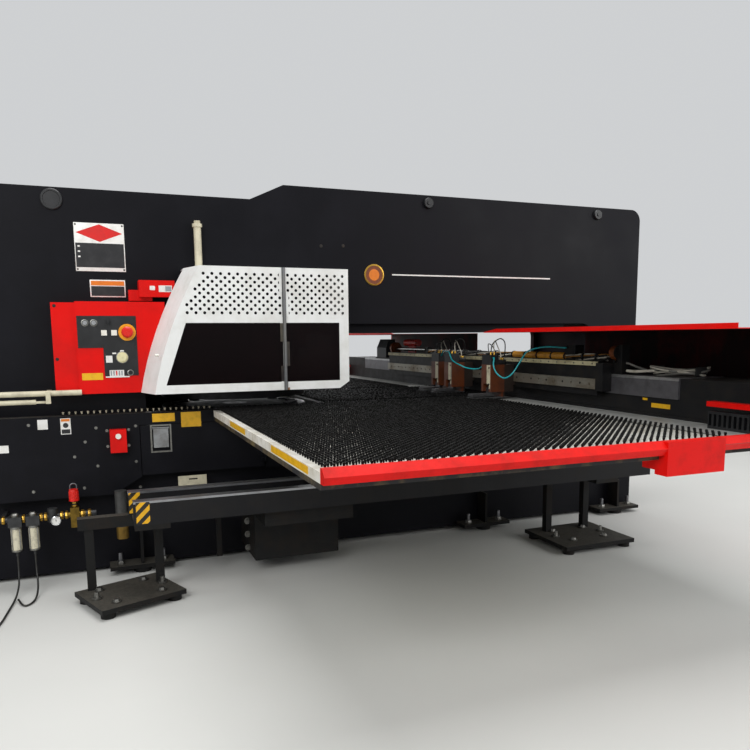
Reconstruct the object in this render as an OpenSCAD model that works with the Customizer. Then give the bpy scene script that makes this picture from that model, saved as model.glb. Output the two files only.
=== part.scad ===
// Turret punch press: bridge frame, turrets, travelling brush tables and sheet carriage
// Millimetres, +Z up, +X along the bridge away from the turret, the operator stands at -Y

/* [Frame] */
// Length of the bridge frame along X
frame_len = 5000; // [4700:10:5400]
// Thickness of the bridge frame along Y
frame_thk = 800; // [760:10:820]
// Height of the bridge over the turret end
low_top_z = 2170; // [2050:5:2250]
// Extra height of the bridge beyond its step
beam_rise = 95; // [40:5:150]
// Place of the step along X
rise_x = -430; // [-600:10:0]
// Length of the sloping part of the step
rise_run = 205; // [100:5:300]
// Underside of the upper beam
beam_under_z = 1435; // [1425:5:1480]
// Top of the lower beam
base_top_z = 800; // [780:5:810]
// Gap between the lower beam and the floor
floor_gap = 22; // [18:1:40]
// Length of the solid column at the turret end
left_column = 1420; // [1380:10:1450]
// Length of the column at the far end
right_column = 400; // [360:10:405]
// Thickness of the frame's side plates
side_plate = 45; // [30:5:60]
// How far the frame's core stays inside the side plates' outline
core_inset = 35; // [20:5:50]
// How far the upper beam's inner box hangs below its side plates
hang_h = 57; // [40:1:60]
// Width of the hanging box along Y
hang_w = 680; // [600:10:690]
// Right end of the hanging box
hang_x1 = 1890; // [1800:10:1900]
// Corner radius of the hanging box
hang_r = 60; // [20:5:80]
// Distance of the outer levelling feet from the frame's left end
foot_left = 250; // [220:10:280]
// Distance of the outer levelling feet from the frame's right end
foot_right = 200; // [180:10:240]
// Distance of the inner levelling feet from the frame's middle
foot_mid = 1150; // [1100:10:1200]
// Width of a levelling bracket
bracket_w = 360; // [320:10:380]
// Depth of a levelling bracket in front of the frame
bracket_d = 130; // [110:5:140]
// Corner radius of the throat
throat_r = 100; // [60:10:140]
// Radius of the beam's upper far corner
beam_end_r = 80; // [40:5:120]
// Diameter of the levelling feet
foot_d = 180; // [140:10:220]

/* [Tables] */
// Height of the brush tips, where the sheet slides
sheet_z = 946; // [940:1:950]
// Height of the brushes over the table plates
brush_h = 16; // [12:1:20]
// Overall span of the tables over both bumpers
table_span = 5350; // [5200:10:5500]
// Gap between the frame and the travelling tables
table_gap = 120; // [110:5:140]
// Left edge of the travelling tables
table_x0 = -710; // [-760:10:-690]
// Right edge of the brush field
table_x1 = 1030; // [980:10:1035]
// Depth of the tables' steel trays
tray_h = 58; // [45:1:60]
// Thickness of the table plates
table_plate = 18; // [12:1:25]
// Spacing of the brush rows
brush_pitch = 28; // [24:1:40]
// Width of one brush row
brush_w = 9; // [6:1:12]
// Height of the red bumpers
bumper_h = 52; // [40:1:60]
// Depth of the red bumpers
bumper_d = 45; // [35:1:60]

/* [Turrets] */
// Turret axis along X
turret_x = -490; // [-500:5:-480]
// Turret radius
turret_r = 465; // [440:5:468]
// Radius of the circle of stations
station_r = 380; // [340:5:400]
// Number of stations
stations = 20; // [12:1:24]
// Thickness of the upper turret
upper_t = 130; // [100:5:140]
// Thickness of the lower turret
lower_t = 65; // [45:5:70]
// Opening from the brush tips up to the upper turret
turret_open = 39; // [36:1:45]
// Diameter of the turret shafts
shaft_d = 160; // [120:5:200]
// Radial running clearance of shafts, pins and knobs
run_fit = 0.05; // [0.02:0.01:0.08]
// Diameter of the striker
ram_d = 80; // [60:2:100]
// Stroke of the striker
ram_stroke = 44; // [30:1:46]

/* [Carriage] */
// Front guide face of the carriage beam along X
guide_x = 1250; // [1240:5:1270]
// Depth of the carriage beam along X
beam_d = 290; // [240:10:300]
// Underside of the carriage beam
beam_z0 = 955; // [952:1:960]
// Top of the carriage beam
beam_z1 = 1140; // [1130:1:1142]
// Right edge of the carriage platforms and hoods
platform_x1 = 1780; // [1740:10:1780]
// Underside of the carriage platforms
platform_z0 = 872; // [865:1:880]
// Near end of the cross carriage along Y
cross_y0 = -1635; // [-1640:5:-1620]
// Length of the cross carriage
cross_len = 2995; // [2950:5:3000]
// Left edge of the hoods
hood_x0 = 980; // [960:10:1000]
// Underside of the hoods
hood_z = 1370; // [1350:1:1375]
// Inner end of the hoods, from the frame's centre plane
hood_y = 735; // [735:5:800]
// Height of the hoods' front flange
hood_lip = 23; // [15:1:35]

/* [Clamps] */
// Places of the clamps along Y
clamp_ys = [-705, -170, 40];
// Width of one clamp
clamp_w = 120; // [100:5:130]
// Front face of the clamps along X
clamp_x0 = 1020; // [1015:5:1040]
// Reach of the jaws in front of the clamp
jaw_reach = 115; // [90:5:120]
// Mouth of the closed jaws
jaw_mouth = 6; // [5:0.5:7]
// Diameter of the jaw pins
jaw_pin_d = 20; // [14:1:24]

/* [Turret guard] */
// Right edge of the guard
guard_x1 = 70; // [60:5:80]
// Hinge line between the guard's two leaves
guard_hinge_x = -320; // [-340:5:-300]
// Upper left corner of the guard
guard_top_x = -788; // [-810:2:-770]
// How far the left edge leans out at the bottom
guard_lean = 262; // [240:2:280]
// Underside of the guard
guard_z0 = 1050; // [1040:2:1060]
// Top of the guard
guard_z1 = 1745; // [1700:5:1760]
// Distance of the guard's face from the frame
guard_depth = 320; // [300:5:340]
// Width of the guard's slanted left band
band_splay = 60; // [40:2:75]
// Sheet thickness of guards and hoods
sheet_t = 4; // [3:0.5:5]
// Top of the windows
window_z1 = 1435; // [1400:5:1440]
// Bottom of the windows
window_z0 = 1097; // [1085:1:1110]
// Diameter of the ventilation holes
vent_d = 17; // [9:1:19]
// Spacing of the ventilation holes in a row
vent_pitch = 47; // [36:1:50]
// Number of rows of ventilation holes
vent_rows = 11; // [7:2:11]

/* [Operator panel] */
// Left edge of the panel
panel_x0 = -1550; // [-1570:5:-1540]
// Width of the panel
panel_w = 590; // [560:5:600]
// Underside of the panel
panel_z0 = 1052; // [1045:1:1060]
// Height of the panel
panel_h = 504; // [490:1:510]
// Depth of the panel in front of the frame
panel_d = 118; // [90:1:118]
// Diameter of the emergency stop head
estop_d = 62; // [50:1:66]
// Travel of the emergency stop
estop_travel = 6; // [4:0.5:8]
// Travel of the push buttons
button_travel = 4; // [2:0.5:5]

/* [Covers and air unit] */
// Clearance between the turrets and the inside of the lower covers
cover_gap = 11; // [9:1:14]
// Sheet thickness of the covers and the service door
cover_t = 4; // [3:0.5:5]
// Underside of the tall part of the lower covers
cover_z0 = 470; // [440:5:500]
// Underside of the low part of the lower covers
cover_step_z = 560; // [555:5:562]
// Left edge of the service door
door_x0 = -1125; // [-1140:5:-1110]
// Hinge line of the service door
door_x1 = -400; // [-430:5:-390]
// Top of the service door
door_z1 = 856; // [845:1:858]
// Height of the air unit's axis
air_z = 400; // [380:5:420]
// Distance of the air unit's inlet from the frame's left end
air_in = 600; // [560:10:620]
// Diameter of the drain hoses
hose_d = 10; // [8:1:12]
// Height of the upper air pipe
pipe_z = 1064; // [1056:1:1070]

/* [Guide beams] */
// Top of the guide beams
rail_z1 = 560; // [555:1:562]
// Height of the guide beams
rail_h = 120; // [80:5:140]
// Width of the guide beams
rail_w = 60; // [50:5:80]
// Distance of the outer beam from the centre plane
rail_outer_y = 1120; // [1100:10:1140]
// Distance of the inner beam from the centre plane
rail_inner_y = 870; // [850:10:890]
// Left end of the outer guide beams
rail_x0 = -1212; // [-1220:1:-1190]
// Right end of the guide beams
rail_x1 = 2000; // [1900:10:2100]
// Diameter of the table rollers
roller_d = 90; // [70:2:100]
// Diameter of the drive screw
screw_d = 50; // [40:2:60]
// Left side of the left stand
stand_x0 = -1447; // [-1460:1:-1430]
// Width of the left stand over its posts
stand_w = 387; // [370:1:395]
// Left side of the right stand
far_stand_x0 = 1380; // [1360:5:1400]
// Width of the right stand over its posts
far_stand_w = 340; // [320:5:350]
// Right side of the frame's box brackets
arm_x1 = -50; // [-60:5:-40]
// Width of the frame's box brackets
arm_w = 500; // [480:5:520]
// Right bearing of the drive screw
bearing_x1 = 1890; // [1860:5:1900]
// Left bearing of the drive screw
bearing_x0 = -240; // [-260:5:-220]

/* [Hidden] */
$fn = 48;

// Running gap between pieces that slide or turn past each other
gap = 0.3;
frame_y = frame_thk / 2;
throat_x0 = -frame_len / 2 + left_column;
throat_x1 = frame_len / 2 - right_column;
high_top_z = low_top_z + beam_rise;
core_under_z = beam_under_z + core_inset;
core_base_z = base_top_z - core_inset;
table_top_z = sheet_z - brush_h;
table_y = table_span / 2;
table_in_y = frame_y + table_gap;
upper_z0 = sheet_z + turret_open;
upper_z1 = upper_z0 + upper_t;
lower_z1 = table_top_z - 5;
lower_z0 = lower_z1 - lower_t;
punch_x = turret_x + station_r;
ram_x = punch_x;
ram_wide = 180;
punch_stem_h = 45;
punch_head_h = 15;
punch_top_z = upper_z1 + punch_stem_h + punch_head_h;
ram_z0 = punch_top_z + ram_stroke + 6;
cover_y = -turret_r - cover_gap - cover_t;
guard_y = -frame_y - guard_depth;
panel_y = -frame_y - panel_d;
rail_z0 = rail_z1 - rail_h;
roller_x = 1100;
roller_z = rail_z1 + gap + roller_d / 2;
axle_d = 30;
bracket_y = (rail_inner_y + rail_outer_y) / 2;
hinge_pin_d = 8;
hinge_barrel_d = 16;
guard_hinge_y = guard_y - hinge_barrel_d / 2;
door_hinge_y = cover_y - hinge_barrel_d / 2;
cross_y1 = cross_y0 + cross_len;
strip_x0 = guide_x - 60;
strip_x1 = guide_x - 45;
strip_z0 = 1055;
strip_z1 = 1112;
jaw_z = 1000;
jaw_x = clamp_x0 + 40;
jaw_t = 16;
jaw_slot = 70;
jaw_low_z = sheet_z + 2;
jaw_low_t = 8;
mouth_z = jaw_low_z + jaw_low_t;
screw_y = -frame_y - 120;
screw_z = 700;

// A block given by two opposite corners
module block(a, b) {
    translate(a) cube(b - a);
}

// A sheet or body whose outline lies in X and Z, from y along +Y
module slab(y, t) {
    translate([0, y + t, 0]) rotate([90, 0, 0]) linear_extrude(t) children();
}

module rod_x(x0, x1, y, z, d) {
    translate([x0, y, z]) rotate([0, 90, 0]) cylinder(h = x1 - x0, d = d);
}

module rod_y(y0, y1, x, z, d) {
    translate([x, y0, z]) rotate([-90, 0, 0]) cylinder(h = y1 - y0, d = d);
}

module rod_z(z0, z1, x, y, d) {
    translate([x, y, z0]) cylinder(h = z1 - z0, d = d);
}

module rect2(x0, z0, x1, z1) {
    translate([x0, z0]) square([x1 - x0, z1 - z0]);
}

module round_rect(x0, z0, x1, z1, r) {
    rect2(x0 + r, z0, x1 - r, z1);
    rect2(x0, z0 + r, x1, z1 - r);
    for (x = [x0 + r, x1 - r], z = [z0 + r, z1 - r]) translate([x, z]) circle(r);
}

// A copy on the far side of the frame's centre plane
module rear() {
    mirror([0, 1, 0]) children();
}

// A round tube swept along points, closed at both ends
function unit(v) = v / norm(v);
function tangent(p, i) = unit(p[min(i + 1, len(p) - 1)] - p[max(i - 1, 0)]);
function ring(p, i, r, n) = let (t = tangent(p, i), u = unit(cross(t, [0.35, 0.9, 0.25])), v = cross(t, u))
    [for (k = [0:n - 1]) p[i] + r * (u * cos(360 * k / n) + v * sin(360 * k / n))];
function spline(a, b, c, d, t) = 0.5 * ((2 * b) + (c - a) * t + (2 * a - 5 * b + 4 * c - d) * t * t
    + (3 * b - a - 3 * c + d) * t * t * t);
function smooth(p, k) = [for (i = [0:len(p) - 2], j = [0:k - 1])
    spline(p[max(i - 1, 0)], p[i], p[i + 1], p[min(i + 2, len(p) - 1)], j / k), p[len(p) - 1]];

function with_ends(p, k) = concat([p[0]], smooth([for (i = [1:len(p) - 2]) p[i]], k), [p[len(p) - 1]]);
module tube(p, d, n = 8) {
    count = len(p);
    points = [for (i = [0:count - 1]) each ring(p, i, d / 2, n)];
    walls = [for (i = [0:count - 2], k = [0:n - 1]) let (a = i * n + k, b = i * n + (k + 1) % n)
        each [[a, a + n, b + n], [a, b + n, b]]];
    polyhedron(points, concat([[for (k = [0:n - 1]) k]], walls,
        [[for (k = [n - 1:-1:0]) (count - 1) * n + k]]), convexity = 6);
}

// Outline of the bridge frame, drawn in by k all round
module frame_profile(k) {
    x0 = -frame_len / 2 + k;
    x1 = frame_len / 2 - k;
    top = high_top_z - k;
    r = beam_end_r - k / 2;
    difference() {
        union() {
            polygon([[x0, floor_gap + k], [x0, low_top_z - k], [rise_x, low_top_z - k],
                [rise_x + rise_run, top], [x1 - r, top], [x1, top - r], [x1, floor_gap + k]]);
            translate([x1 - r, top - r]) circle(r, $fn = 64);
        }
        round_rect(throat_x0 - k, base_top_z - k, throat_x1 + k, beam_under_z + k, throat_r);
    }
}

module bridge_frame() {
    color([0.13, 0.14, 0.17]) {
        slab(-frame_y, side_plate) frame_profile(0);
        slab(-frame_y + side_plate, frame_thk - 2 * side_plate) frame_profile(core_inset);
        slab(frame_y - side_plate, side_plate) frame_profile(0);
        slab(-hang_w / 2, hang_w) hanging_profile();
    }
}

// Outline of the box that hangs under the upper beam, rounded at its far lower corner
module hanging_profile() {
    x0 = ram_x + ram_wide / 2 + 5;
    z0 = beam_under_z - hang_h;
    rect2(x0, z0, hang_x1 - hang_r, core_under_z + 1);
    rect2(x0, z0 + hang_r, hang_x1, core_under_z + 1);
    translate([hang_x1 - hang_r, z0 + hang_r]) circle(hang_r);
}

// Levelling bracket on the frame's face: foot plate, rib and pad
module bracket(x) {
    w = bracket_w / 2;
    y0 = -frame_y - bracket_d;
    difference() {
        block([x - w, y0, floor_gap + 8], [x + w, -frame_y, floor_gap + 30]);
        rod_z(floor_gap, floor_gap + 31, x - w + 60, -frame_y - 70, 26);
        rod_z(floor_gap, floor_gap + 31, x + w - 60, -frame_y - 70, 26);
    }
    block([x - 8, y0 + 20, floor_gap + 30], [x + 8, -frame_y, 260]);
    rod_z(0, floor_gap + 8, x, -frame_y - 70, 100);
}

// Pads and threaded studs that carry the frame
module levelling_feet() {
    pad_h = floor_gap - 4;
    stud_d = 44;
    color("dimgray")
        for (x = [foot_left - frame_len / 2, -foot_mid, foot_mid, frame_len / 2 - foot_right]) {
            for (y = [-frame_y + 150, frame_y - 150]) {
                rod_z(0, pad_h, x, y, foot_d);
                rod_z(pad_h, floor_gap + core_inset, x, y, stud_d);
            }
            bracket(x);
            rear() bracket(x);
        }
}

// Fixed shafts with the flanges that keep the turrets in place
module turret_shafts() {
    flange_d = shaft_d + 90;
    color("silver") {
        rod_z(upper_z1 + 60, core_under_z, turret_x, 0, flange_d);
        rod_z(upper_z0 - 8, upper_z1 + 60, turret_x, 0, shaft_d);
        rod_z(upper_z0 - 20, upper_z0 - gap, turret_x, 0, flange_d);
        rod_z(core_base_z, lower_z0 - gap, turret_x, 0, flange_d);
        rod_z(lower_z0 - gap, lower_z1, turret_x, 0, shaft_d);
    }
}

module ram_housing() {
    wide = ram_wide / 2;
    deep = 120;
    color([0.2, 0.21, 0.24])
        difference() {
            block([punch_x - wide, -deep, ram_z0 + 60], [punch_x + wide, deep, core_under_z]);
            rod_z(ram_z0 + 59, core_under_z + 1, punch_x, 0, ram_d + 2 * run_fit);
        }
}

module ram() {
    color("silver") rod_z(ram_z0, core_under_z - 5, punch_x, 0, ram_d);
}

module stations_ring() {
    for (i = [0:stations - 1]) rotate(i * 360 / stations) translate([station_r, 0, 0]) children();
}

module upper_turret() {
    color("gray")
        translate([turret_x, 0, 0]) {
            difference() {
                rod_z(upper_z0, upper_z1, 0, 0, 2 * turret_r);
                rod_z(upper_z0 - 1, upper_z1 + 1, 0, 0, shaft_d + 2 * run_fit);
                rod_z(upper_z1 - 25, upper_z1 + 1, 0, 0, 2 * station_r - 120);
            }
            difference() {
                rod_z(upper_z0, upper_z1, 0, 0, shaft_d + 60);
                rod_z(upper_z0 - 1, upper_z1 + 1, 0, 0, shaft_d + 2 * run_fit);
            }
            stations_ring() {
                rod_z(upper_z1 - 10, upper_z1 + punch_stem_h, 0, 0, 44);
                rod_z(upper_z1 + punch_stem_h, punch_top_z, 0, 0, 62);
            }
        }
}

module lower_turret() {
    color("gray")
        translate([turret_x, 0, 0]) {
            difference() {
                rod_z(lower_z0, lower_z1, 0, 0, 2 * turret_r);
                rod_z(lower_z0 - 1, lower_z1 + 1, 0, 0, shaft_d + 2 * run_fit);
            }
            stations_ring() rod_z(lower_z1 - 10, table_top_z + 4, 0, 0, 70);
        }
}

// Fixed plate between the turret and the far column, on ribs that stand on the frame
module centre_table() {
    x0 = turret_x + turret_r + 20;
    x1 = throat_x1 - 20;
    y1 = table_in_y - 40;
    rib = 30;
    color("dimgray") {
        block([x0, -y1, table_top_z - table_plate], [x1, y1, table_top_z]);
        for (y = [-frame_y, frame_y - rib])
            block([x0, y, base_top_z], [x1 - throat_r, y + rib, table_top_z - table_plate]);
        for (x = [x0, (x0 + x1 - throat_r) / 2, x1 - throat_r - rib])
            block([x, -frame_y, base_top_z], [x + rib, frame_y, table_top_z - table_plate]);
    }
}

// Rows of bristles on a thin backing sheet
module brush_rows(x0, x1, y0, y1) {
    back = 2;
    rows = floor((x1 - x0 - brush_w) / brush_pitch);
    block([x0, y0, table_top_z], [x1, y1, table_top_z + back]);
    for (i = [0:rows])
        translate([x0 + i * brush_pitch, y0, table_top_z + back])
            cube([brush_w, y1 - y0, brush_h - back]);
}

module centre_brushes() {
    y1 = table_in_y - 42;
    color([0.09, 0.09, 0.09]) {
        brush_rows(turret_x + turret_r + 22, guide_x + 500, -y1, y1);
        brush_rows(panel_x0 + 20, table_x0 - 5, cover_y + 2, cover_y + 48);
    }
}

module beam_pair() {
    for (side = [[rail_outer_y, 0], [rail_inner_y, -14]])
        block([rail_x0 + side[1], -side[0] - rail_w / 2, rail_z0],
            [rail_x1, -side[0] + rail_w / 2, rail_z1]);
    for (x = [-700, 500, 1700])
        block([x, -rail_outer_y + rail_w / 2, rail_z0 + 20],
            [x + 60, -rail_inner_y - rail_w / 2, rail_z1 - 40]);
}

module guide_beams() {
    color([0.12, 0.12, 0.14]) {
        beam_pair();
        rear() beam_pair();
    }
}

// Foot plate on pads; turn is its angle on the floor, cut is the angle of its anchor holes
module foot_plate(x, y, w, d, turn) {
    z = 30;
    t = 25;
    translate([x, y, 0]) rotate(turn) {
        for (px = [-w / 2 + 45, w / 2 - 45], py = [-d / 2 + 45, d / 2 - 45]) rod_z(0, z, px, py, 70);
        difference() {
            block([-w / 2, -d / 2, z], [w / 2, d / 2, z + t]);
            for (px = [-120, 120], py = [-110, 110]) rod_z(z - 1, z + t + 1, px, py, 26);
        }
    }
}

// Two posts on a foot plate, a cross bar under the inner beam and a shelf under the outer one
module stand(x0, x1) {
    z = 55;
    w = 44;
    bar_h = 60;
    y = -rail_inner_y;
    for (px = [x0, x1 - w]) block([px, y - w / 2, z], [px + w, y + w / 2, rail_z0 - bar_h]);
    block([x0 - 30, y - rail_w / 2, rail_z0 - bar_h], [x1 + 20, y + rail_w / 2, rail_z0]);
    block([x1 - 150, -rail_outer_y - rail_w / 2, rail_z0 - 26], [x1 + 20, y - rail_w / 2, rail_z0]);
}

// Box bracket between the frame's face and the beams
module arm(x0, x1) {
    block([x0, -rail_outer_y + rail_w / 2, rail_z0 - 90], [x1, -frame_y, rail_z0]);
    block([x0, -frame_y - 420, floor_gap + 60], [x1, -frame_y, rail_z0 - 90]);
    block([x0 - 190, -frame_y - 240, 80], [x0 - 160, -frame_y - 230, 340]);
    block([x0 - 190, -frame_y - 230, 320], [x0 - 160, -frame_y, 340]);
}

module side_stands() {
    mid = stand_x0 + stand_w / 2;
    far_mid = far_stand_x0 + far_stand_w / 2;
    stand(stand_x0, stand_x0 + stand_w);
    foot_plate(mid + 13.5, -rail_inner_y - 98, stand_w + 56, 362, 21);
    stand(far_stand_x0, far_stand_x0 + far_stand_w);
    foot_plate(far_mid, -rail_inner_y - 140, far_stand_w + 180, 460, 0);
    arm(arm_x1 - arm_w, arm_x1);
}

module beam_stands() {
    color([0.1, 0.1, 0.11]) {
        side_stands();
        rear() side_stands();
    }
}

module screw_bearings() {
    half = 45;
    color("dimgray")
        for (x = [bearing_x0, bearing_x1])
            difference() {
                block([x, screw_y - half, screw_z - half], [x + 60, -frame_y, screw_z + half]);
                rod_x(x - 1, x + 61, screw_y, screw_z, screw_d + 2 * run_fit);
            }
}

module drive_screw() {
    color("silver") {
        rod_x(bearing_x0 - 10, bearing_x1 + 70, screw_y, screw_z, screw_d);
        rod_x(bearing_x0 - 22, bearing_x0 - gap, screw_y, screw_z, screw_d + 24);
        rod_x(bearing_x1 + 60 + gap, bearing_x1 + 82, screw_y, screw_z, screw_d + 24);
    }
}

// Outline of the lower covers: tall at the left, with a slanting step up to the service door
module cover_outline() {
    left = -frame_len / 2;
    polygon([[left, cover_z0], [door_x0 - 155, cover_z0], [door_x0 - 3, cover_step_z],
        [door_x0 - 3, door_z1 + 4], [door_x1 + 4, door_z1 + 4], [door_x1 + 4, cover_step_z],
        [door_x1 + 100, cover_step_z], [door_x1 + 100, table_top_z], [left, table_top_z]]);
}

module lower_covers() {
    left = -frame_len / 2;
    t = cover_t;
    deep = cover_y + t;
    color([0.12, 0.13, 0.15]) {
        slab(cover_y, t) cover_outline();
        block([left, deep, cover_z0], [left + t, -frame_y, table_top_z]);
        block([left + t, deep, cover_z0], [door_x0 - 155, -frame_y, cover_z0 + t]);
        block([left + t, deep, table_top_z - t], [turret_x - turret_r - 30, -frame_y, table_top_z]);
        block([turret_x - turret_r - 30, deep, table_top_z - t], [table_x0 - 5, cover_y + 50, table_top_z]);
        block([door_x0 - 3 - t, deep, cover_step_z], [door_x0 - 3, -frame_y, table_top_z - t]);
        block([door_x1 + 100 - t, deep, cover_step_z], [door_x1 + 100, -frame_y, lower_z0 - 20]);
        door_hinge(1, cover_step_z + 40, door_z1 - 30, door_x1, door_hinge_y);
        for (z = [cover_step_z + 40, door_z1 - 30 - 60])
            block([door_x1 + 4, door_hinge_y + 1, z + 20 + gap], [door_x1 + 30, cover_y, z + 40 - gap]);
    }
}

// Hinge knuckles in two groups of three: part 0 is the moving leaf, part 1 is the fixed one
module door_hinge(part, z0, z1, x, y) {
    k = 20;
    for (z = [z0, z1 - 3 * k])
        if (part == 1) {
            rod_z(z, z + 3 * k, x, y, hinge_pin_d);
            rod_z(z + k + gap, z + 2 * k - gap, x, y, hinge_barrel_d);
            block([x, y, z + k + gap], [x + 14, y + 3, z + 2 * k - gap]);
            block([x + 11, y, z + k + gap], [x + 14, y + hinge_barrel_d / 2, z + 2 * k - gap]);
        } else {
            difference() {
                for (q = [z, z + 2 * k]) {
                    rod_z(q, q + k, x, y, hinge_barrel_d);
                    block([x - 24, y + hinge_barrel_d / 2 - 3, q], [x, y + hinge_barrel_d / 2, q + k]);
                }
                rod_z(z - 1, z + 3 * k + 1, x, y, hinge_pin_d + 2 * run_fit);
            }
        }
}

paddle_x = door_x0 + 64;
paddle_w = 100;
paddle_h = 147;
paddle_z = door_z1 - 6 - paddle_h;

module service_door() {
    t = cover_t;
    x0 = door_x0 + 1;
    x1 = door_x1 - 8;
    z0 = cover_step_z + 8;
    back = cover_y + 24;
    color([0.12, 0.13, 0.15]) {
        difference() {
            block([x0, cover_y, z0], [x1, back, door_z1]);
            block([x0 + t, cover_y + t, z0 + t], [x1 - t, back + 1, door_z1 - t]);
            block([paddle_x, cover_y - 1, paddle_z], [paddle_x + paddle_w, back, paddle_z + paddle_h]);
        }
        difference() {
            block([paddle_x - 3, cover_y, paddle_z - 3],
                [paddle_x + paddle_w + 3, cover_y + 22, paddle_z + paddle_h + 3]);
            block([paddle_x, cover_y - 1, paddle_z],
                [paddle_x + paddle_w, cover_y + 18, paddle_z + paddle_h]);
        }
        rod_x(paddle_x, paddle_x + paddle_w, cover_y + 9, paddle_z + paddle_h - 12, 8);
        door_hinge(0, cover_step_z + 40, door_z1 - 30, door_x1, door_hinge_y);
    }
}

// Pull paddle that turns on a pin in the door's recess
module paddle_handle() {
    color("silver")
        difference() {
            union() {
                rod_x(paddle_x + 2, paddle_x + paddle_w - 2, cover_y + 9, paddle_z + paddle_h - 12, 16);
                block([paddle_x + 8, cover_y + 3, paddle_z + 20],
                    [paddle_x + paddle_w - 8, cover_y + 8, paddle_z + paddle_h - 12]);
            }
            rod_x(paddle_x, paddle_x + paddle_w, cover_y + 9, paddle_z + paddle_h - 12,
                8 + 2 * run_fit);
        }
}

box_x = -1290;
box_z = 716;
box_w = 88;
box_h = 130;
box_d = 55;
box_button_z = box_z + 94;

module switch_box() {
    color("red")
        difference() {
            block([box_x, cover_y - box_d, box_z], [box_x + box_w, cover_y, box_z + box_h]);
            rod_y(cover_y - box_d - 1, cover_y - box_d + 20, box_x + box_w / 2, box_button_z,
                22 + 2 * run_fit);
        }
}

module switch_button() {
    y = cover_y - box_d;
    color("ivory") {
        rod_y(y - 12, y + 20 - button_travel - 1, box_x + box_w / 2, box_button_z, 22);
        rod_y(y - 14, y - button_travel - 1, box_x + box_w / 2, box_button_z, 30);
    }
}

// Places of the panel's controls as [x, z]
plate_x0 = panel_x0 + 126;
plate_z1 = panel_z0 + panel_h - 78;
estop_at = [panel_x0 + 382, panel_z0 + 336];
left_button_at = [panel_x0 + 262, panel_z0 + 334];
right_button_at = [panel_x0 + 314, panel_z0 + 334];
left_key_at = [panel_x0 + 167, panel_z0 + 388];
right_key_at = [panel_x0 + 212, panel_z0 + 388];
selector_at = [panel_x0 + 286, panel_z0 + 396];
knob_at = [panel_x0 + 350, panel_z0 + 198];
plate_t = 3;
plate_y = panel_y - plate_t;

module control_holes(y, depth) {
    for (c = [[estop_at, 30], [left_key_at, 24], [right_key_at, 24], [selector_at, 22], [knob_at, 14]])
        rod_y(y, y + depth, c[0][0], c[0][1], c[1] + 2 * run_fit);
    for (c = [left_button_at, right_button_at])
        block([c[0] - 15, y, c[1] - 15], [c[0] + 15, y + depth, c[1] + 15]);
}

module operator_panel() {
    t = 3;
    x1 = panel_x0 + panel_w;
    flange_w = 120;
    color("red")
        difference() {
            union() {
                block([panel_x0, panel_y + 14, panel_z0], [x1, -frame_y, panel_z0 + panel_h - 6]);
                block([panel_x0 + flange_w, panel_y, panel_z0], [x1, -frame_y, panel_z0 + panel_h]);
            }
            block([panel_x0 + t, panel_y + 14 + t, panel_z0 + t],
                [x1 - t, -frame_y + 1, panel_z0 + panel_h - 6 - t]);
            control_holes(panel_y - 1, 20);
        }
}

// The black face plate is wide above and narrow below
module panel_plate() {
    x1 = panel_x0 + 432;
    color([0.06, 0.06, 0.07])
        difference() {
            slab(plate_y, plate_t)
                polygon([[plate_x0, plate_z1], [x1, plate_z1], [x1, panel_z0 + 96],
                    [panel_x0 + 254, panel_z0 + 96], [panel_x0 + 254, panel_z0 + 252],
                    [plate_x0, panel_z0 + 252]]);
            control_holes(plate_y - 1, plate_t + 2);
        }
}

module estop_collar() {
    color("yellow")
        difference() {
            rod_y(plate_y - 5, plate_y, estop_at[0], estop_at[1], 92);
            rod_y(plate_y - 6, plate_y + 1, estop_at[0], estop_at[1], 30 + 2 * run_fit);
        }
}

module estop_button() {
    head = plate_y - 5 - estop_travel - 2;
    color("red")
        translate([estop_at[0], 0, estop_at[1]]) rotate([90, 0, 0]) {
            translate([0, 0, -(panel_y + 12)]) cylinder(h = panel_y + 12 - head, d = 30);
            translate([0, 0, -head]) cylinder(h = 18, d = estop_d);
            translate([0, 0, -head + 18]) cylinder(h = 10, d1 = estop_d, d2 = estop_d - 18);
        }
}

module push_button(at) {
    color("white") {
        block([at[0] - 14.7, plate_y - 9, at[1] - 14.7],
            [at[0] + 14.7, panel_y + 10, at[1] + 14.7]);
    }
}

module push_button_left() {
    push_button(left_button_at);
}

module push_button_right() {
    push_button(right_button_at);
}

// Lock barrel with a bow-shaped key in it
module key_switch(at) {
    color("silver") {
        rod_y(plate_y - 10, panel_y + 10, at[0], at[1], 24);
        block([at[0] - 2, plate_y - 40, at[1] - 10], [at[0] + 2, plate_y - 10, at[1] + 10]);
    }
}

module key_switch_left() {
    key_switch(left_key_at);
}

module key_switch_right() {
    key_switch(right_key_at);
}

module selector_switch() {
    color([0.1, 0.1, 0.1]) {
        rod_y(plate_y - 8, panel_y + 10, selector_at[0], selector_at[1], 22);
        block([selector_at[0] - 4, plate_y - 20, selector_at[1] - 13],
            [selector_at[0] + 4, plate_y - 8, selector_at[1] + 13]);
    }
}

module override_knob() {
    color("ivory") {
        rod_y(plate_y - 4, panel_y + 10, knob_at[0], knob_at[1], 14);
        rod_y(plate_y - 9, plate_y - gap, knob_at[0], knob_at[1], 58);
        rod_y(plate_y - 28, plate_y - 9, knob_at[0], knob_at[1], 42);
        block([knob_at[0] - 4, plate_y - 32, knob_at[1] - 20], [knob_at[0] + 4, plate_y - 28, knob_at[1] + 20]);
    }
}

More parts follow.
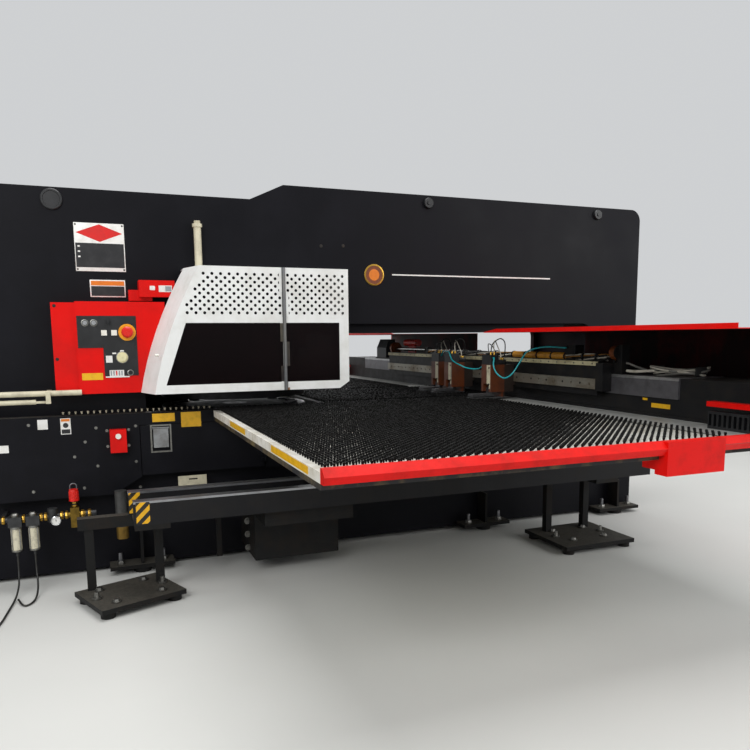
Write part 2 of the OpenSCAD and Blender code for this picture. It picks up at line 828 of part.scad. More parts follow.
// Small sheet-metal box over the panel, with its stepped left end
module indicator_box() {
    z0 = panel_z0 + panel_h + 8;
    color("red") {
        block([panel_x0 + 404, -frame_y - 70, z0], [panel_x0 + 530, -frame_y, z0 + 60]);
        block([panel_x0 + 458, -frame_y - 110, z0 + 20], [panel_x0 + 652, -frame_y - 70, z0 + 112]);
        block([panel_x0 + 458, -frame_y - 70, z0 + 60], [panel_x0 + 652, -frame_y, z0 + 112]);
    }
}

// Vent pipe with a cap, held to the frame by its elbow
module vent_pole() {
    x = guard_top_x + 38;
    y = -frame_y - 42;
    z0 = guard_z1 + 30;
    color("beige") {
        rod_z(z0 - 21, z0 + 212, x, y, 42);
        rod_z(z0 + 212, z0 + 230, x, y, 56);
        rod_z(z0 + 230, z0 + 247, x, y, 36);
        rod_y(y, -frame_y, x, z0, 34);
    }
}

// Left outline of the guard as a slightly bulging curve, from top to bottom
guard_steps = 8;
function guard_edge(u) = guard_top_x - guard_lean * (1.5 * u - 0.5 * u * u);
function guard_edge_z(u) = guard_z1 - u * (guard_z1 - guard_z0);
function edge_at(z) = guard_edge((guard_z1 - z) / (guard_z1 - guard_z0));
guard_levels = [for (i = [0:guard_steps]) i / guard_steps];
vent_z1 = guard_z1 - 42;
vent_row_h = 21.3;

module vents(x_right, x_min) {
    for (row = [0:vent_rows - 1]) {
        z = vent_z1 - row * vent_row_h;
        start = x_right - (row % 2) * vent_pitch / 2;
        left = max(x_min, edge_at(z) + 34);
        for (x = [start:-vent_pitch:left]) translate([x, z]) circle(d = vent_d, $fn = 20);
    }
}

// The guard's slanted left band as a loft of thin parallelograms
module side_band() {
    t = sheet_t;
    back = panel_y - 2 * gap;
    points = [for (u = guard_levels) let (x = guard_edge(u), z = guard_edge_z(u)) each
        [[x, guard_y, z], [x - band_splay, back, z], [x - band_splay + t, back, z], [x + t, guard_y, z]]];
    n = guard_steps;
    sides = [for (i = [0:n - 1], k = [0:3]) let (a = i * 4 + k, b = i * 4 + (k + 1) % 4)
        each [[a, a + 4, b + 4], [a, b + 4, b]]];
    polyhedron(points, concat([[0, 1, 2, 3]], sides, [[n * 4 + 3, n * 4 + 2, n * 4 + 1, n * 4]]));
}

module guard_knuckles(part) {
    n = 5;
    h = (guard_z1 - guard_z0) / n;
    for (i = [0:n - 1])
        if (i % 2 == part) {
            x = guard_hinge_x + (part == 0 ? -26 : 0);
            rod_z(guard_z0 + i * h + gap, guard_z0 + (i + 1) * h - gap, guard_hinge_x, guard_hinge_y,
                hinge_barrel_d);
            block([x, guard_y - 3, guard_z0 + i * h + gap], [x + 26, guard_y, guard_z0 + (i + 1) * h - gap]);
        }
}

module guard_door() {
    x1 = guard_hinge_x - 2;
    w1 = guard_hinge_x - 10;
    corner = guard_top_x - band_splay;
    color([0.83, 0.84, 0.83]) {
        slab(guard_y, sheet_t)
            difference() {
                polygon(concat([for (u = guard_levels) [guard_edge(u), guard_edge_z(u)]],
                    [[x1, guard_z0], [x1, guard_z1]]));
                polygon([[edge_at(window_z1) + 66, window_z1], [w1, window_z1], [w1, window_z0],
                    [edge_at(window_z0) + 52, window_z0]]);
                vents(guard_hinge_x - 24, -2000);
            }
        side_band();
        translate([0, 0, guard_z1 - sheet_t]) linear_extrude(sheet_t)
            polygon([[guard_top_x, guard_y + sheet_t], [x1, guard_y + sheet_t], [x1, -frame_y - 2],
                [corner, -frame_y - 2], [corner, panel_y]]);
        difference() {
            guard_knuckles(0);
            rod_z(guard_z0, guard_z1, guard_hinge_x, guard_hinge_y, hinge_pin_d + 2 * run_fit);
        }
    }
}

module door_window() {
    y = guard_y + sheet_t;
    w1 = guard_hinge_x - 4;
    color([0.1, 0.07, 0.07, 0.5])
        slab(y, 3)
            polygon([[edge_at(window_z1) + 52, window_z1 + 12], [w1, window_z1 + 12],
                [w1, window_z0 - 12], [edge_at(window_z0) + 38, window_z0 - 12]]);
}

module turret_guard() {
    x0 = guard_hinge_x + 2;
    cut = 40;
    color([0.83, 0.84, 0.83]) {
        slab(guard_y, sheet_t)
            difference() {
                polygon([[x0, guard_z1], [guard_x1, guard_z1], [guard_x1, guard_z0 + cut],
                    [guard_x1 - 60, guard_z0], [x0, guard_z0]]);
                rect2(guard_hinge_x + 10, window_z0, guard_x1 - 58, window_z1);
                vents(guard_x1 - 36, guard_hinge_x + 16);
            }
        block([guard_x1 - sheet_t, guard_y + sheet_t, guard_z0 + cut], [guard_x1, -frame_y, guard_z1]);
        block([x0, guard_y + sheet_t, guard_z1 - sheet_t], [guard_x1 - sheet_t, -frame_y, guard_z1]);
        rod_z(guard_z0, guard_z1, guard_hinge_x, guard_hinge_y, hinge_pin_d);
        guard_knuckles(1);
    }
}

module fixed_window() {
    color([0.1, 0.07, 0.07, 0.5])
        block([guard_hinge_x + 4, guard_y + sheet_t, window_z0 - 12],
            [guard_x1 - 46, guard_y + sheet_t + 3, window_z1 + 12]);
}

// One-piece guard on the far side of the frame
module rear_guard() {
    x0 = guard_edge(0.7);
    y = -guard_y;
    color([0.83, 0.84, 0.83]) {
        slab(y - sheet_t, sheet_t)
            difference() {
                rect2(x0, guard_z0, guard_x1, guard_z1);
                vents(guard_x1 - 36, x0 + 30);
            }
        for (x = [x0, guard_x1 - sheet_t])
            block([x, frame_y, guard_z0], [x + sheet_t, y - sheet_t, guard_z1]);
        block([x0 + sheet_t, frame_y, guard_z1 - sheet_t],
            [guard_x1 - sheet_t, y - sheet_t, guard_z1]);
    }
}

air_y = cover_y - 110;
filter_y = cover_y - 80;
air_x = air_in - frame_len / 2;
valve_z = air_z + 75;
bowl_xs = [air_x + 110, air_x + 196];
valve_x = air_x + 406;
filter_x = air_x + 648;

// Filter bowls, regulator, gauge and valve body on one pipe, held by a back plate
module air_unit() {
    color("gray") {
        difference() {
            rod_x(air_x, valve_x + 109, air_y, air_z, 30);
            rod_x(air_x - 1, air_x + 30, air_y, air_z, 14);
        }
        for (x = bowl_xs) {
            block([x - 33, air_y - 33, air_z - 36], [x + 33, air_y + 33, air_z + 16]);
            rod_z(air_z - 168, air_z - 36, x, air_y, 52);
            rod_z(air_z - 178, air_z - 168, x, air_y, 40);
            rod_z(air_z - 200, air_z - 178, x, air_y, 16);
        }
        rod_z(air_z - 30, air_z + 44, air_x + 295, air_y, 52);
        rod_y(air_y - 52, air_y - 20, air_x + 312, air_z - 16, 50);
        block([valve_x - 22, air_y - 22, air_z - 70], [valve_x + 22, air_y + 22, air_z + 40]);
        rod_z(air_z + 40, valve_z + 40, valve_x, air_y, 20);
        block([air_x + 40, air_y + 8, air_z - 12], [air_x + 60, -frame_y, air_z + 12]);
        block([valve_x - 10, air_y + 8, air_z - 12], [valve_x + 10, -frame_y, air_z + 12]);
        rod_z(air_z - 170, air_z + 104, filter_x, filter_y, 66);
        block([filter_x - 10, filter_y + 30, air_z + 20], [filter_x + 10, -frame_y, air_z + 50]);
    }
}

// Red sleeve handle with its locking loop, turned to shut the air off
module lockout_valve() {
    z1 = valve_z + 65;
    color("orangered") {
        difference() {
            rod_z(valve_z, z1, valve_x, air_y, 46);
            rod_z(valve_z - 1, valve_z + 42, valve_x, air_y, 20 + 2 * run_fit);
        }
        for (x = [-17, 17]) rod_z(z1 - 4, z1 + 14, valve_x + x, air_y, 7);
        translate([valve_x, air_y, z1 + 14]) rotate([90, 0, 0])
            rotate_extrude(angle = 180) translate([17, 0]) circle(d = 7, $fn = 16);
    }
}

// Routes of the two drain hoses down to the floor
left_hose = [[-1790, -590, 199.7], [-1790, -592, 150], [-1790, -606, 100], [-1790, -650, 54],
    [-1796, -720, 24], [-1806, -790, 10], [-1821, -925, 7], [-1834, -1042, 7], [-1856, -1150, 7]];
right_hose = [[-1704, -590, 199.7], [-1704, -592, 150], [-1702, -606, 100], [-1698, -645, 50],
    [-1698, -700, 22], [-1704, -770, 10], [-1720, -826, 7], [-1742, -850, 7], [-1762, -830, 8],
    [-1785, -762, 14]];

module drain_hose_left() {
    color([0.05, 0.05, 0.05]) tube(smooth(left_hose, 2), hose_d);
}

module drain_hose_right() {
    color([0.05, 0.05, 0.05]) tube(smooth(right_hose, 2), hose_d);
}

// Two parallel air pipes on a clip at the left of the panel
module left_pipes() {
    x0 = 20 - frame_len / 2;
    y = -frame_y - 140;
    color("beige") {
        rod_x(x0, x0 + 1060, y, pipe_z, 30);
        rod_x(x0, x0 + 830, y, pipe_z - 44, 26);
        for (x = [x0 + 80, x0 + 880]) {
            block([x, y - 20, pipe_z], [x + 24, -frame_y, pipe_z + 10]);
            block([x, y - 25, pipe_z - 54], [x + 24, y - 10, pipe_z + 10]);
        }
        block([x0 + 800, y - 10, pipe_z - 52], [x0 + 904, y + 10, pipe_z - 40]);
    }
}

// Deep-rimmed platform beside the table, with the roller forks and the seat of the base beam
module platform() {
    far = -table_y + bumper_d;
    near = -table_in_y;
    block([table_x1 + 1, far, sheet_z - 12], [platform_x1, near, sheet_z - 6]);
    block([table_x1 + 1, far, platform_z0], [table_x1 + 41, near, sheet_z - 12]);
    block([platform_x1 - 40, far, platform_z0], [platform_x1, near, sheet_z - 12]);
    for (y = [far, near - 40])
        block([table_x1 + 41, y, platform_z0], [platform_x1 - 40, y + 40, sheet_z - 12]);
    block([guide_x, far, sheet_z - 6], [guide_x + beam_d, near, beam_z0]);
    difference() {
        for (y = [-bracket_y - 66, -bracket_y + 46])
            block([roller_x - 40, y, roller_z - 34], [roller_x + 40, y + 20, platform_z0]);
        rod_y(-rail_outer_y, -rail_inner_y, roller_x, roller_z, axle_d + 2 * run_fit);
    }
    block([roller_x - 40, -bracket_y - 66, platform_z0], [roller_x + 40, -bracket_y + 66, sheet_z - 12]);
}

nut_x = 1300;

// Steel guide on a black base beam, with a box at each end
module carriage_base() {
    far = table_y - bumper_d;
    guide_y = table_y - 565;
    color([0.35, 0.36, 0.38]) {
        block([guide_x, -guide_y, beam_z1 - 104], [guide_x + beam_d, guide_y, beam_z1]);
        block([guide_x + 8, -far, beam_z0], [guide_x + beam_d, far, beam_z1 - 104]);
        for (y = [-far, guide_y])
            block([guide_x + 8, y, beam_z1 - 104], [guide_x + beam_d, y + far - guide_y, beam_z1 - 2]);
        platform();
        rear() platform();
        difference() {
            block([nut_x, -table_in_y - 40, screw_z - 50], [nut_x + 80, -table_in_y, platform_z0]);
            rod_x(nut_x - 1, nut_x + 81, screw_y, screw_z, screw_d + 4);
        }
        difference() {
            block([nut_x, screw_y - 45, screw_z - 50], [nut_x + 80, screw_y + 45, screw_z + 50]);
            rod_x(nut_x - 1, nut_x + 81, screw_y, screw_z, screw_d + 4);
        }
        block([nut_x, -table_in_y - 40, platform_z0], [nut_x + 80, -table_in_y, sheet_z - 12]);
    }
}

// Cover sheet with an upright front flange, back wall and low end wall, and the bar over the chain
module hood() {
    t = sheet_t;
    end = -table_y + 10;
    taper = 150;
    bar_x0 = strip_x0 - 50;
    bar_y1 = end + 280;
    color("red") {
        block([hood_x0, end, hood_z], [platform_x1, -hood_y, hood_z + t]);
        translate([hood_x0, 0, 0]) rotate([90, 0, 90]) linear_extrude(t)
            polygon([[end, hood_z + t], [-hood_y, hood_z + t], [-hood_y - taper, hood_z + hood_lip],
                [end, hood_z + hood_lip]]);
        block([platform_x1 - t, end, sheet_z], [platform_x1, -hood_y, hood_z]);
        block([platform_x1 - t, -table_y + bumper_d + gap, sheet_z - 6], [platform_x1, -hood_y, sheet_z]);
        block([bar_x0, end, sheet_z - 6], [platform_x1 - t, end + t, 1058]);
        block([bar_x0, end + t, 1036], [bar_x0 + 46, bar_y1, 1058]);
    }
}

module front_hood() {
    hood();
}

module rear_hood() {
    rear() hood();
}

// Steel tray: plate and deep rim
module table() {
    far = -table_y + bumper_d;
    near = -table_in_y;
    rim = 12;
    z0 = table_top_z - tray_h;
    zp = table_top_z - table_plate;
    color([0.16, 0.16, 0.17]) {
        block([table_x0, far, zp], [table_x1, near, table_top_z]);
        for (x = [table_x0, table_x1 - rim]) block([x, far, z0], [x + rim, near, zp]);
        for (y = [far, near - rim]) block([table_x0 + rim, y, z0], [table_x1 - rim, y + rim, zp]);
        block([table_x1, far, platform_z0 + 5], [table_x1 + 1, near, table_top_z]);
    }
}

module front_table() {
    table();
}

module rear_table() {
    rear() table();
}

module side_brushes() {
    color([0.09, 0.09, 0.09])
        brush_rows(table_x0 + 10, table_x1, -table_y + bumper_d, -table_in_y);
}

module front_brushes() {
    side_brushes();
}

module rear_brushes() {
    rear() side_brushes();
}

// Two-facet safety edge and the box at its right end
module bumper() {
    y0 = -table_y;
    y1 = -table_y + bumper_d;
    z1 = sheet_z - 1;
    box_x0 = 652;
    box_x1 = 942;
    box_h = 133;
    color("red") {
        for (span = [[table_x0, box_x0], [box_x1, platform_x1]])
            translate([span[0], 0, 0]) rotate([90, 0, 90]) linear_extrude(span[1] - span[0])
                polygon([[y1, z1], [y0 + 28, z1], [y0, z1 - bumper_h / 2], [y0 + 12, z1 - bumper_h],
                    [y1, z1 - bumper_h]]);
        block([box_x0, y0, z1 - box_h], [box_x1, y1, z1]);
        block([box_x0, y1, z1 - box_h], [box_x1, y1 + 20, table_top_z - tray_h]);
        block([box_x0 + 20, y1 + 20, z1 - box_h + 12], [box_x1, y1 + 110, table_top_z - tray_h]);
    }
}

module front_bumper() {
    bumper();
}

module rear_bumper() {
    rear() bumper();
}

// Energy chain lying along the end of the front platform
module cable_chain() {
    pitch = 26;
    x0 = strip_x0 - 50;
    y0 = -table_y + bumper_d + gap;
    z0 = sheet_z - 6;
    z1 = 1016;
    color([0.05, 0.05, 0.05])
        difference() {
            block([x0, y0, z0], [x0 + 46, y0 + 9 * pitch, z1]);
            for (i = [0:8])
                block([x0 - 1, y0 + i * pitch + 6, z0 + 12], [x0 + 47, y0 + i * pitch + 20, z1 - 12]);
        }
}

// One axle on each side with a roller on each beam
module axle_set() {
    color("silver") {
        rod_y(-rail_outer_y - 18, -rail_inner_y + 18, roller_x, roller_z, axle_d);
        for (y = [-rail_outer_y, -rail_inner_y]) rod_y(y - 18, y + 18, roller_x, roller_z, roller_d);
    }
}

module table_rollers() {
    axle_set();
    rear() axle_set();
}

saddle_z = beam_z1 + gap;
plate_x1 = guide_x - 2 * gap;

// Chamfered box of the clamp drive on a tongue of the saddle
module drive_box() {
    x0 = guide_x + 20;
    z0 = saddle_z + 12;
    y0 = cross_y1 + 235;
    block([guide_x + 12, cross_y1, saddle_z], [guide_x + 200, y0 + 250, z0]);
    translate([0, y0, 0]) rotate([-90, 0, 0]) linear_extrude(235)
        polygon([[x0, -z0], [x0, -1246], [x0 + 36, -1326], [x0 + 94, -1326], [x0 + 94, -z0]]);
}

// Front plate, top saddle with its cable tray, and the black end block with its cap
module cross_carriage() {
    y0 = cross_y0 + 60;
    disc_y = cross_y0 - 6;
    far_disc_y = cross_y1 - 20;
    rod_y0 = cross_y1 - 686;
    color([0.08, 0.08, 0.09]) {
        block([strip_x1, y0, 1020], [plate_x1, cross_y1, 1210]);
        block([plate_x1, y0, saddle_z], [guide_x + 250, cross_y1, saddle_z + 30]);
        block([strip_x0, cross_y0, 1047], [plate_x1, y0, 1199]);
        block([plate_x1, cross_y0, saddle_z], [guide_x + 80, y0, 1199]);
        block([guide_x + 10, y0 + 60, saddle_z + 30], [guide_x + 40, cross_y1 - 40, 1200.6]);
        difference() {
            block([guide_x, y0 + 258, saddle_z + 30], [guide_x + 60, y0 + 360, 1292]);
            rod_y(y0 + 257, y0 + 361, guide_x + 24, 1226, 54);
        }
        block([guide_x + 10, cross_y0 - 64, saddle_z], [guide_x + 60, cross_y0, 1199]);
        block([guide_x + 10, cross_y0 - 64, 1199], [guide_x + 60, cross_y0 - 30, 1296]);
        block([guide_x + 10, rod_y0 - 10, 1200.6], [guide_x + 50, rod_y0 + 30, 1262]);
        drive_box();
    }
    color("silver") rod_y(rod_y0 + 30, far_disc_y, guide_x + 20, 1240, 30);
    color("red") {
        rod_y(cross_y1 - 405, cross_y1 - 145, guide_x + 64, 1296, 62);
        block([guide_x + 56, cross_y1 - 340, saddle_z + 30], [guide_x + 72, cross_y1 - 200, 1280]);
    }
    color("saddlebrown") {
        rod_y(disc_y - 24, disc_y + 14, guide_x + 20, 1255, 76);
        rod_y(far_disc_y, far_disc_y + 34, guide_x + 20, 1246, 108);
    }
    color("gray") block([guide_x + 12, disc_y + 2, 1195], [guide_x + 28, disc_y + 12, 1225]);
}

// Two machined strips that the clamps hook on
module clamp_rails() {
    y0 = cross_y0 + 60;
    pitch = 160;
    color("silver")
        difference() {
            union() {
                block([strip_x0, y0, strip_z0], [strip_x1, cross_y1, strip_z1]);
                block([strip_x1 - 10, y0, 1183], [strip_x1, cross_y1, 1206]);
            }
            for (y = [y0 + 50:pitch:cross_y1 - 20])
                rod_x(strip_x0 - 1, strip_x0 + 8, y, (strip_z0 + strip_z1) / 2, 14);
        }
}

// Air and sensor lines: one from clamp to clamp, one to the bracket, and the bundle behind them
near_loop = [[1034, -765.9, 1209], [1034, -778, 1208.4], [1016, -802, 1163], [1012, -846, 1117],
    [1030, -906, 1088], [1060, -949, 1115], [1110, -959, 1188], [1160, -969, 1254], [1200, -1090, 1281],
    [1230, -1236, 1277], [1249.2, -1236, 1276.4]];
far_loop = [[1040, -20.9, 1212], [1040, -34, 1212.4], [1030, -72, 1244], [1024, -140, 1241],
    [1017, -190, 1237], [1006, -245, 1194], [1012, -276, 1172], [1030, -331, 1150], [1060, -377, 1130],
    [1085, -487, 1128], [1072, -590, 1166], [1055, -632, 1204.6], [1055, -648, 1205]];
bundle_steps = 15;
bundle_y0 = cross_y0 + 65;
bundle_run = cross_len - 775;
bundle = [for (i = [0:bundle_steps])
    [guide_x + 24, bundle_y0 + bundle_run * i / bundle_steps, 1228 - 4 * (i % 2)]];

module carriage_hoses() {
    color("teal") {
        tube(with_ends(near_loop, 2), 9);
        tube(with_ends(far_loop, 2), 9);
    }
    color("orange") tube(bundle, 46, 10);
}

// Clamp housing that hooks over the lower strip, with the fixed lower jaw and the jaw's pin
module clamp_body(y) {
    h = clamp_w / 2;
    x1 = strip_x0 - gap;
    color("saddlebrown") {
        difference() {
            block([clamp_x0, y - h, 990], [x1, y + h, 1165]);
            block([clamp_x0 - 1, y - jaw_slot / 2, 989], [clamp_x0 + 85, y + jaw_slot / 2, 1040]);
        }
        block([x1, y - h, strip_z1 + gap], [strip_x1 - gap, y + h, strip_z1 + 22]);
        block([x1, y - h, strip_z0 - 22], [strip_x1 - gap, y + h, strip_z0 - gap]);
        block([clamp_x0, y - h, 1165], [clamp_x0 + 56, y + h - 4, 1228]);
        block([clamp_x0 - jaw_reach, y - h + 10, jaw_low_z], [clamp_x0 + 110, y + h - 10, mouth_z]);
        block([clamp_x0 + 86, y - h + 10, mouth_z], [clamp_x0 + 110, y + h - 10, 990]);
        rod_y(y - jaw_slot / 2, y + jaw_slot / 2, jaw_x, jaw_z, jaw_pin_d);
    }
}

module clamp_jaw(y) {
    w = jaw_slot - 2 * gap;
    z0 = mouth_z + jaw_mouth;
    color("dimgray")
        difference() {
            union() {
                block([clamp_x0 - jaw_reach, y - w / 2, z0], [jaw_x, y + w / 2, z0 + jaw_t]);
                rod_y(y - w / 2, y + w / 2, jaw_x, jaw_z, jaw_pin_d + 20);
                block([jaw_x - 18, y - w / 2, z0 + jaw_t], [jaw_x + 8, y + w / 2, jaw_z - 6]);
            }
            rod_y(y - w, y + w, jaw_x, jaw_z, jaw_pin_d + 2 * run_fit);
        }
}

module clamp_body_1() {
    clamp_body(clamp_ys[0]);
}

module clamp_body_2() {
    clamp_body(clamp_ys[1]);
}

module clamp_body_3() {
    clamp_body(clamp_ys[2]);
}

module clamp_jaw_1() {
    clamp_jaw(clamp_ys[0]);
}

module clamp_jaw_2() {
    clamp_jaw(clamp_ys[1]);
}

module clamp_jaw_3() {
    clamp_jaw(clamp_ys[2]);
}

bridge_frame();
levelling_feet();
turret_shafts();
ram_housing();
ram();
upper_turret();
lower_turret();
centre_table();
centre_brushes();
guide_beams();
beam_stands();
screw_bearings();
drive_screw();
lower_covers();
service_door();
paddle_handle();
switch_box();
switch_button();
operator_panel();
panel_plate();
estop_collar();
estop_button();
push_button_left();
push_button_right();
key_switch_left();
key_switch_right();
selector_switch();
override_knob();
indicator_box();
vent_pole();
turret_guard();
fixed_window();
guard_door();
door_window();
rear_guard();
air_unit();
lockout_valve();
drain_hose_left();
drain_hose_right();
left_pipes();
carriage_base();
front_hood();
rear_hood();
front_table();
rear_table();
front_brushes();
rear_brushes();
front_bumper();
rear_bumper();
cable_chain();
table_rollers();
cross_carriage();
clamp_rails();
carriage_hoses();
clamp_body_1();
clamp_body_2();
clamp_body_3();
clamp_jaw_1();
clamp_jaw_2();
clamp_jaw_3();
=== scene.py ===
import math

import bmesh
import bpy
from mathutils import Matrix, Vector


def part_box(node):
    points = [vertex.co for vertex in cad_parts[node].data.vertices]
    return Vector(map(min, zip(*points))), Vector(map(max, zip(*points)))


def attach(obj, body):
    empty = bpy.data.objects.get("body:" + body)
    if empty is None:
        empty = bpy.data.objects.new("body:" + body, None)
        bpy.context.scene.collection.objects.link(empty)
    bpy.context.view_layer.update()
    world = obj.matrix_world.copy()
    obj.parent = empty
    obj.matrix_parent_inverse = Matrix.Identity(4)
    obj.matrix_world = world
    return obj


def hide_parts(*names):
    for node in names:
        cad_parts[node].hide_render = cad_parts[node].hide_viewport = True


bl_info = {
    "name": "Turret punch press",
    "version": (1, 0, 0),
    "blender": (4, 5, 0),
    "location": "3D View > Sidebar > Punch press",
    "description": "Dresses the packed punch press with its paint, brushes, cables and small parts",
    "category": "Object",
}

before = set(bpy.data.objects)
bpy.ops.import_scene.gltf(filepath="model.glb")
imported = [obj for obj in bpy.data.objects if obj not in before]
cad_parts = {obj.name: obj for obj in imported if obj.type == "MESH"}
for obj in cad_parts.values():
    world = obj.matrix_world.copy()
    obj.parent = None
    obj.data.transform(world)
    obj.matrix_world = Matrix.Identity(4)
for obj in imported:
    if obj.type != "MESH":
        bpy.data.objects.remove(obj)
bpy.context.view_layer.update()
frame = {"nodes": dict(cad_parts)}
MM = 0.001

# millimetres, as in the part's source
CLAMPS = (-705, -170, 40)   # middle of each sheet clamp along the cross carriage
SHEET = 946                 # height of the tufts' tips, where the sheet slides
TUFT = 16                   # height of a tuft
FRAME_FRONT, FRAME_REAR = -400, 400
COVER_FRONT = -480          # lower covers and service door
PANEL_FRONT = -521          # operator panel's plate
AIR_LINE = -590             # middle of the air unit's pipe
FORWARD, BACK = (0, -1, 0), (0, 1, 0)


def linear(code):
    """An sRGB hex colour as linear red, green, blue and alpha."""
    parts = [int(code[i:i + 2], 16) / 255 for i in (1, 3, 5)]
    curve = [c / 12.92 if c <= 0.04045 else ((c + 0.055) / 1.055) ** 2.4 for c in parts]
    return (*curve, 1.0)


def colour(name, text, code):
    """A paint that a user may change."""
    return bpy.props.FloatVectorProperty(
        name=name, description=text, subtype="COLOR", size=3, min=0, max=1, default=linear(code)[:3])


def length(name, text, value, low, high):
    """A length that a user may change, given in millimetres."""
    return bpy.props.FloatProperty(
        name=name, description=text, subtype="DISTANCE", unit="LENGTH", default=value * MM,
        min=low * MM, max=high * MM, precision=4)


class PressSizes(bpy.types.PropertyGroup):
    """Sizes that a user may change."""
    tuft_pitch_x: length("Tuft pitch across", "From one tuft to the next in a row", 32, 28, 44)
    tuft_pitch_y: length("Tuft pitch along", "From one row of tufts to the next", 16, 15, 40)
    tuft_top: length("Tuft top", "Diameter of a tuft where the sheet rests", 13, 8, 23)
    tuft_foot: length("Tuft foot", "Diameter of a tuft where it is held", 6, 4, 12)
    screw_head: length("Cover screw", "Diameter of the cover screws' heads", 14, 8, 20)
    hose: length("Drain hose", "Diameter of the drain hoses", 10, 6, 14)


class PressColours(bpy.types.PropertyGroup):
    """Paint colours."""
    frame: colour("Frame", "Enamel of the bridge frame and covers", "#0c0c11")
    red: colour("Red parts", "Enamel of the hoods, bumpers and panel box", "#de0a04")
    guard: colour("Guard", "Textured paint of the turret guard", "#e8e9e7")
    clamps: colour("Clamps", "Paint of the clamp bodies", "#5c2c12")
    table: colour("Table plates", "Paint of the table plates", "#e4e2da")


# ---------------------------------------------------------------- node trees and finishes


def add(tree, kind, links=(), **settings):
    """One node with its settings; links gives inputs, by name or number, a value or another node's output."""
    made = tree.nodes.new(kind)
    for key, value in settings.items():
        setattr(made, key, value)
    for key, value in dict(links).items():
        if isinstance(value, bpy.types.NodeSocket):
            tree.links.new(value, made.inputs[key])
        else:
            made.inputs[key].default_value = value
    return made


def inside(tree, axes, lo, hi):
    """1 where the surface lies in a box given in millimetres, None being no limit."""
    mask = None
    for axis, low, high in zip(axes, lo, hi):
        for limit, way in ((low, "GREATER_THAN"), (high, "LESS_THAN")):
            if limit is None:
                continue
            step = add(tree, "ShaderNodeMath", {0: axis, 1: limit * MM}, operation=way).outputs[0]
            mask = step if mask is None else add(
                tree, "ShaderNodeMath", {0: mask, 1: step}, operation="MULTIPLY").outputs[0]
    return mask


FINISHES = {}


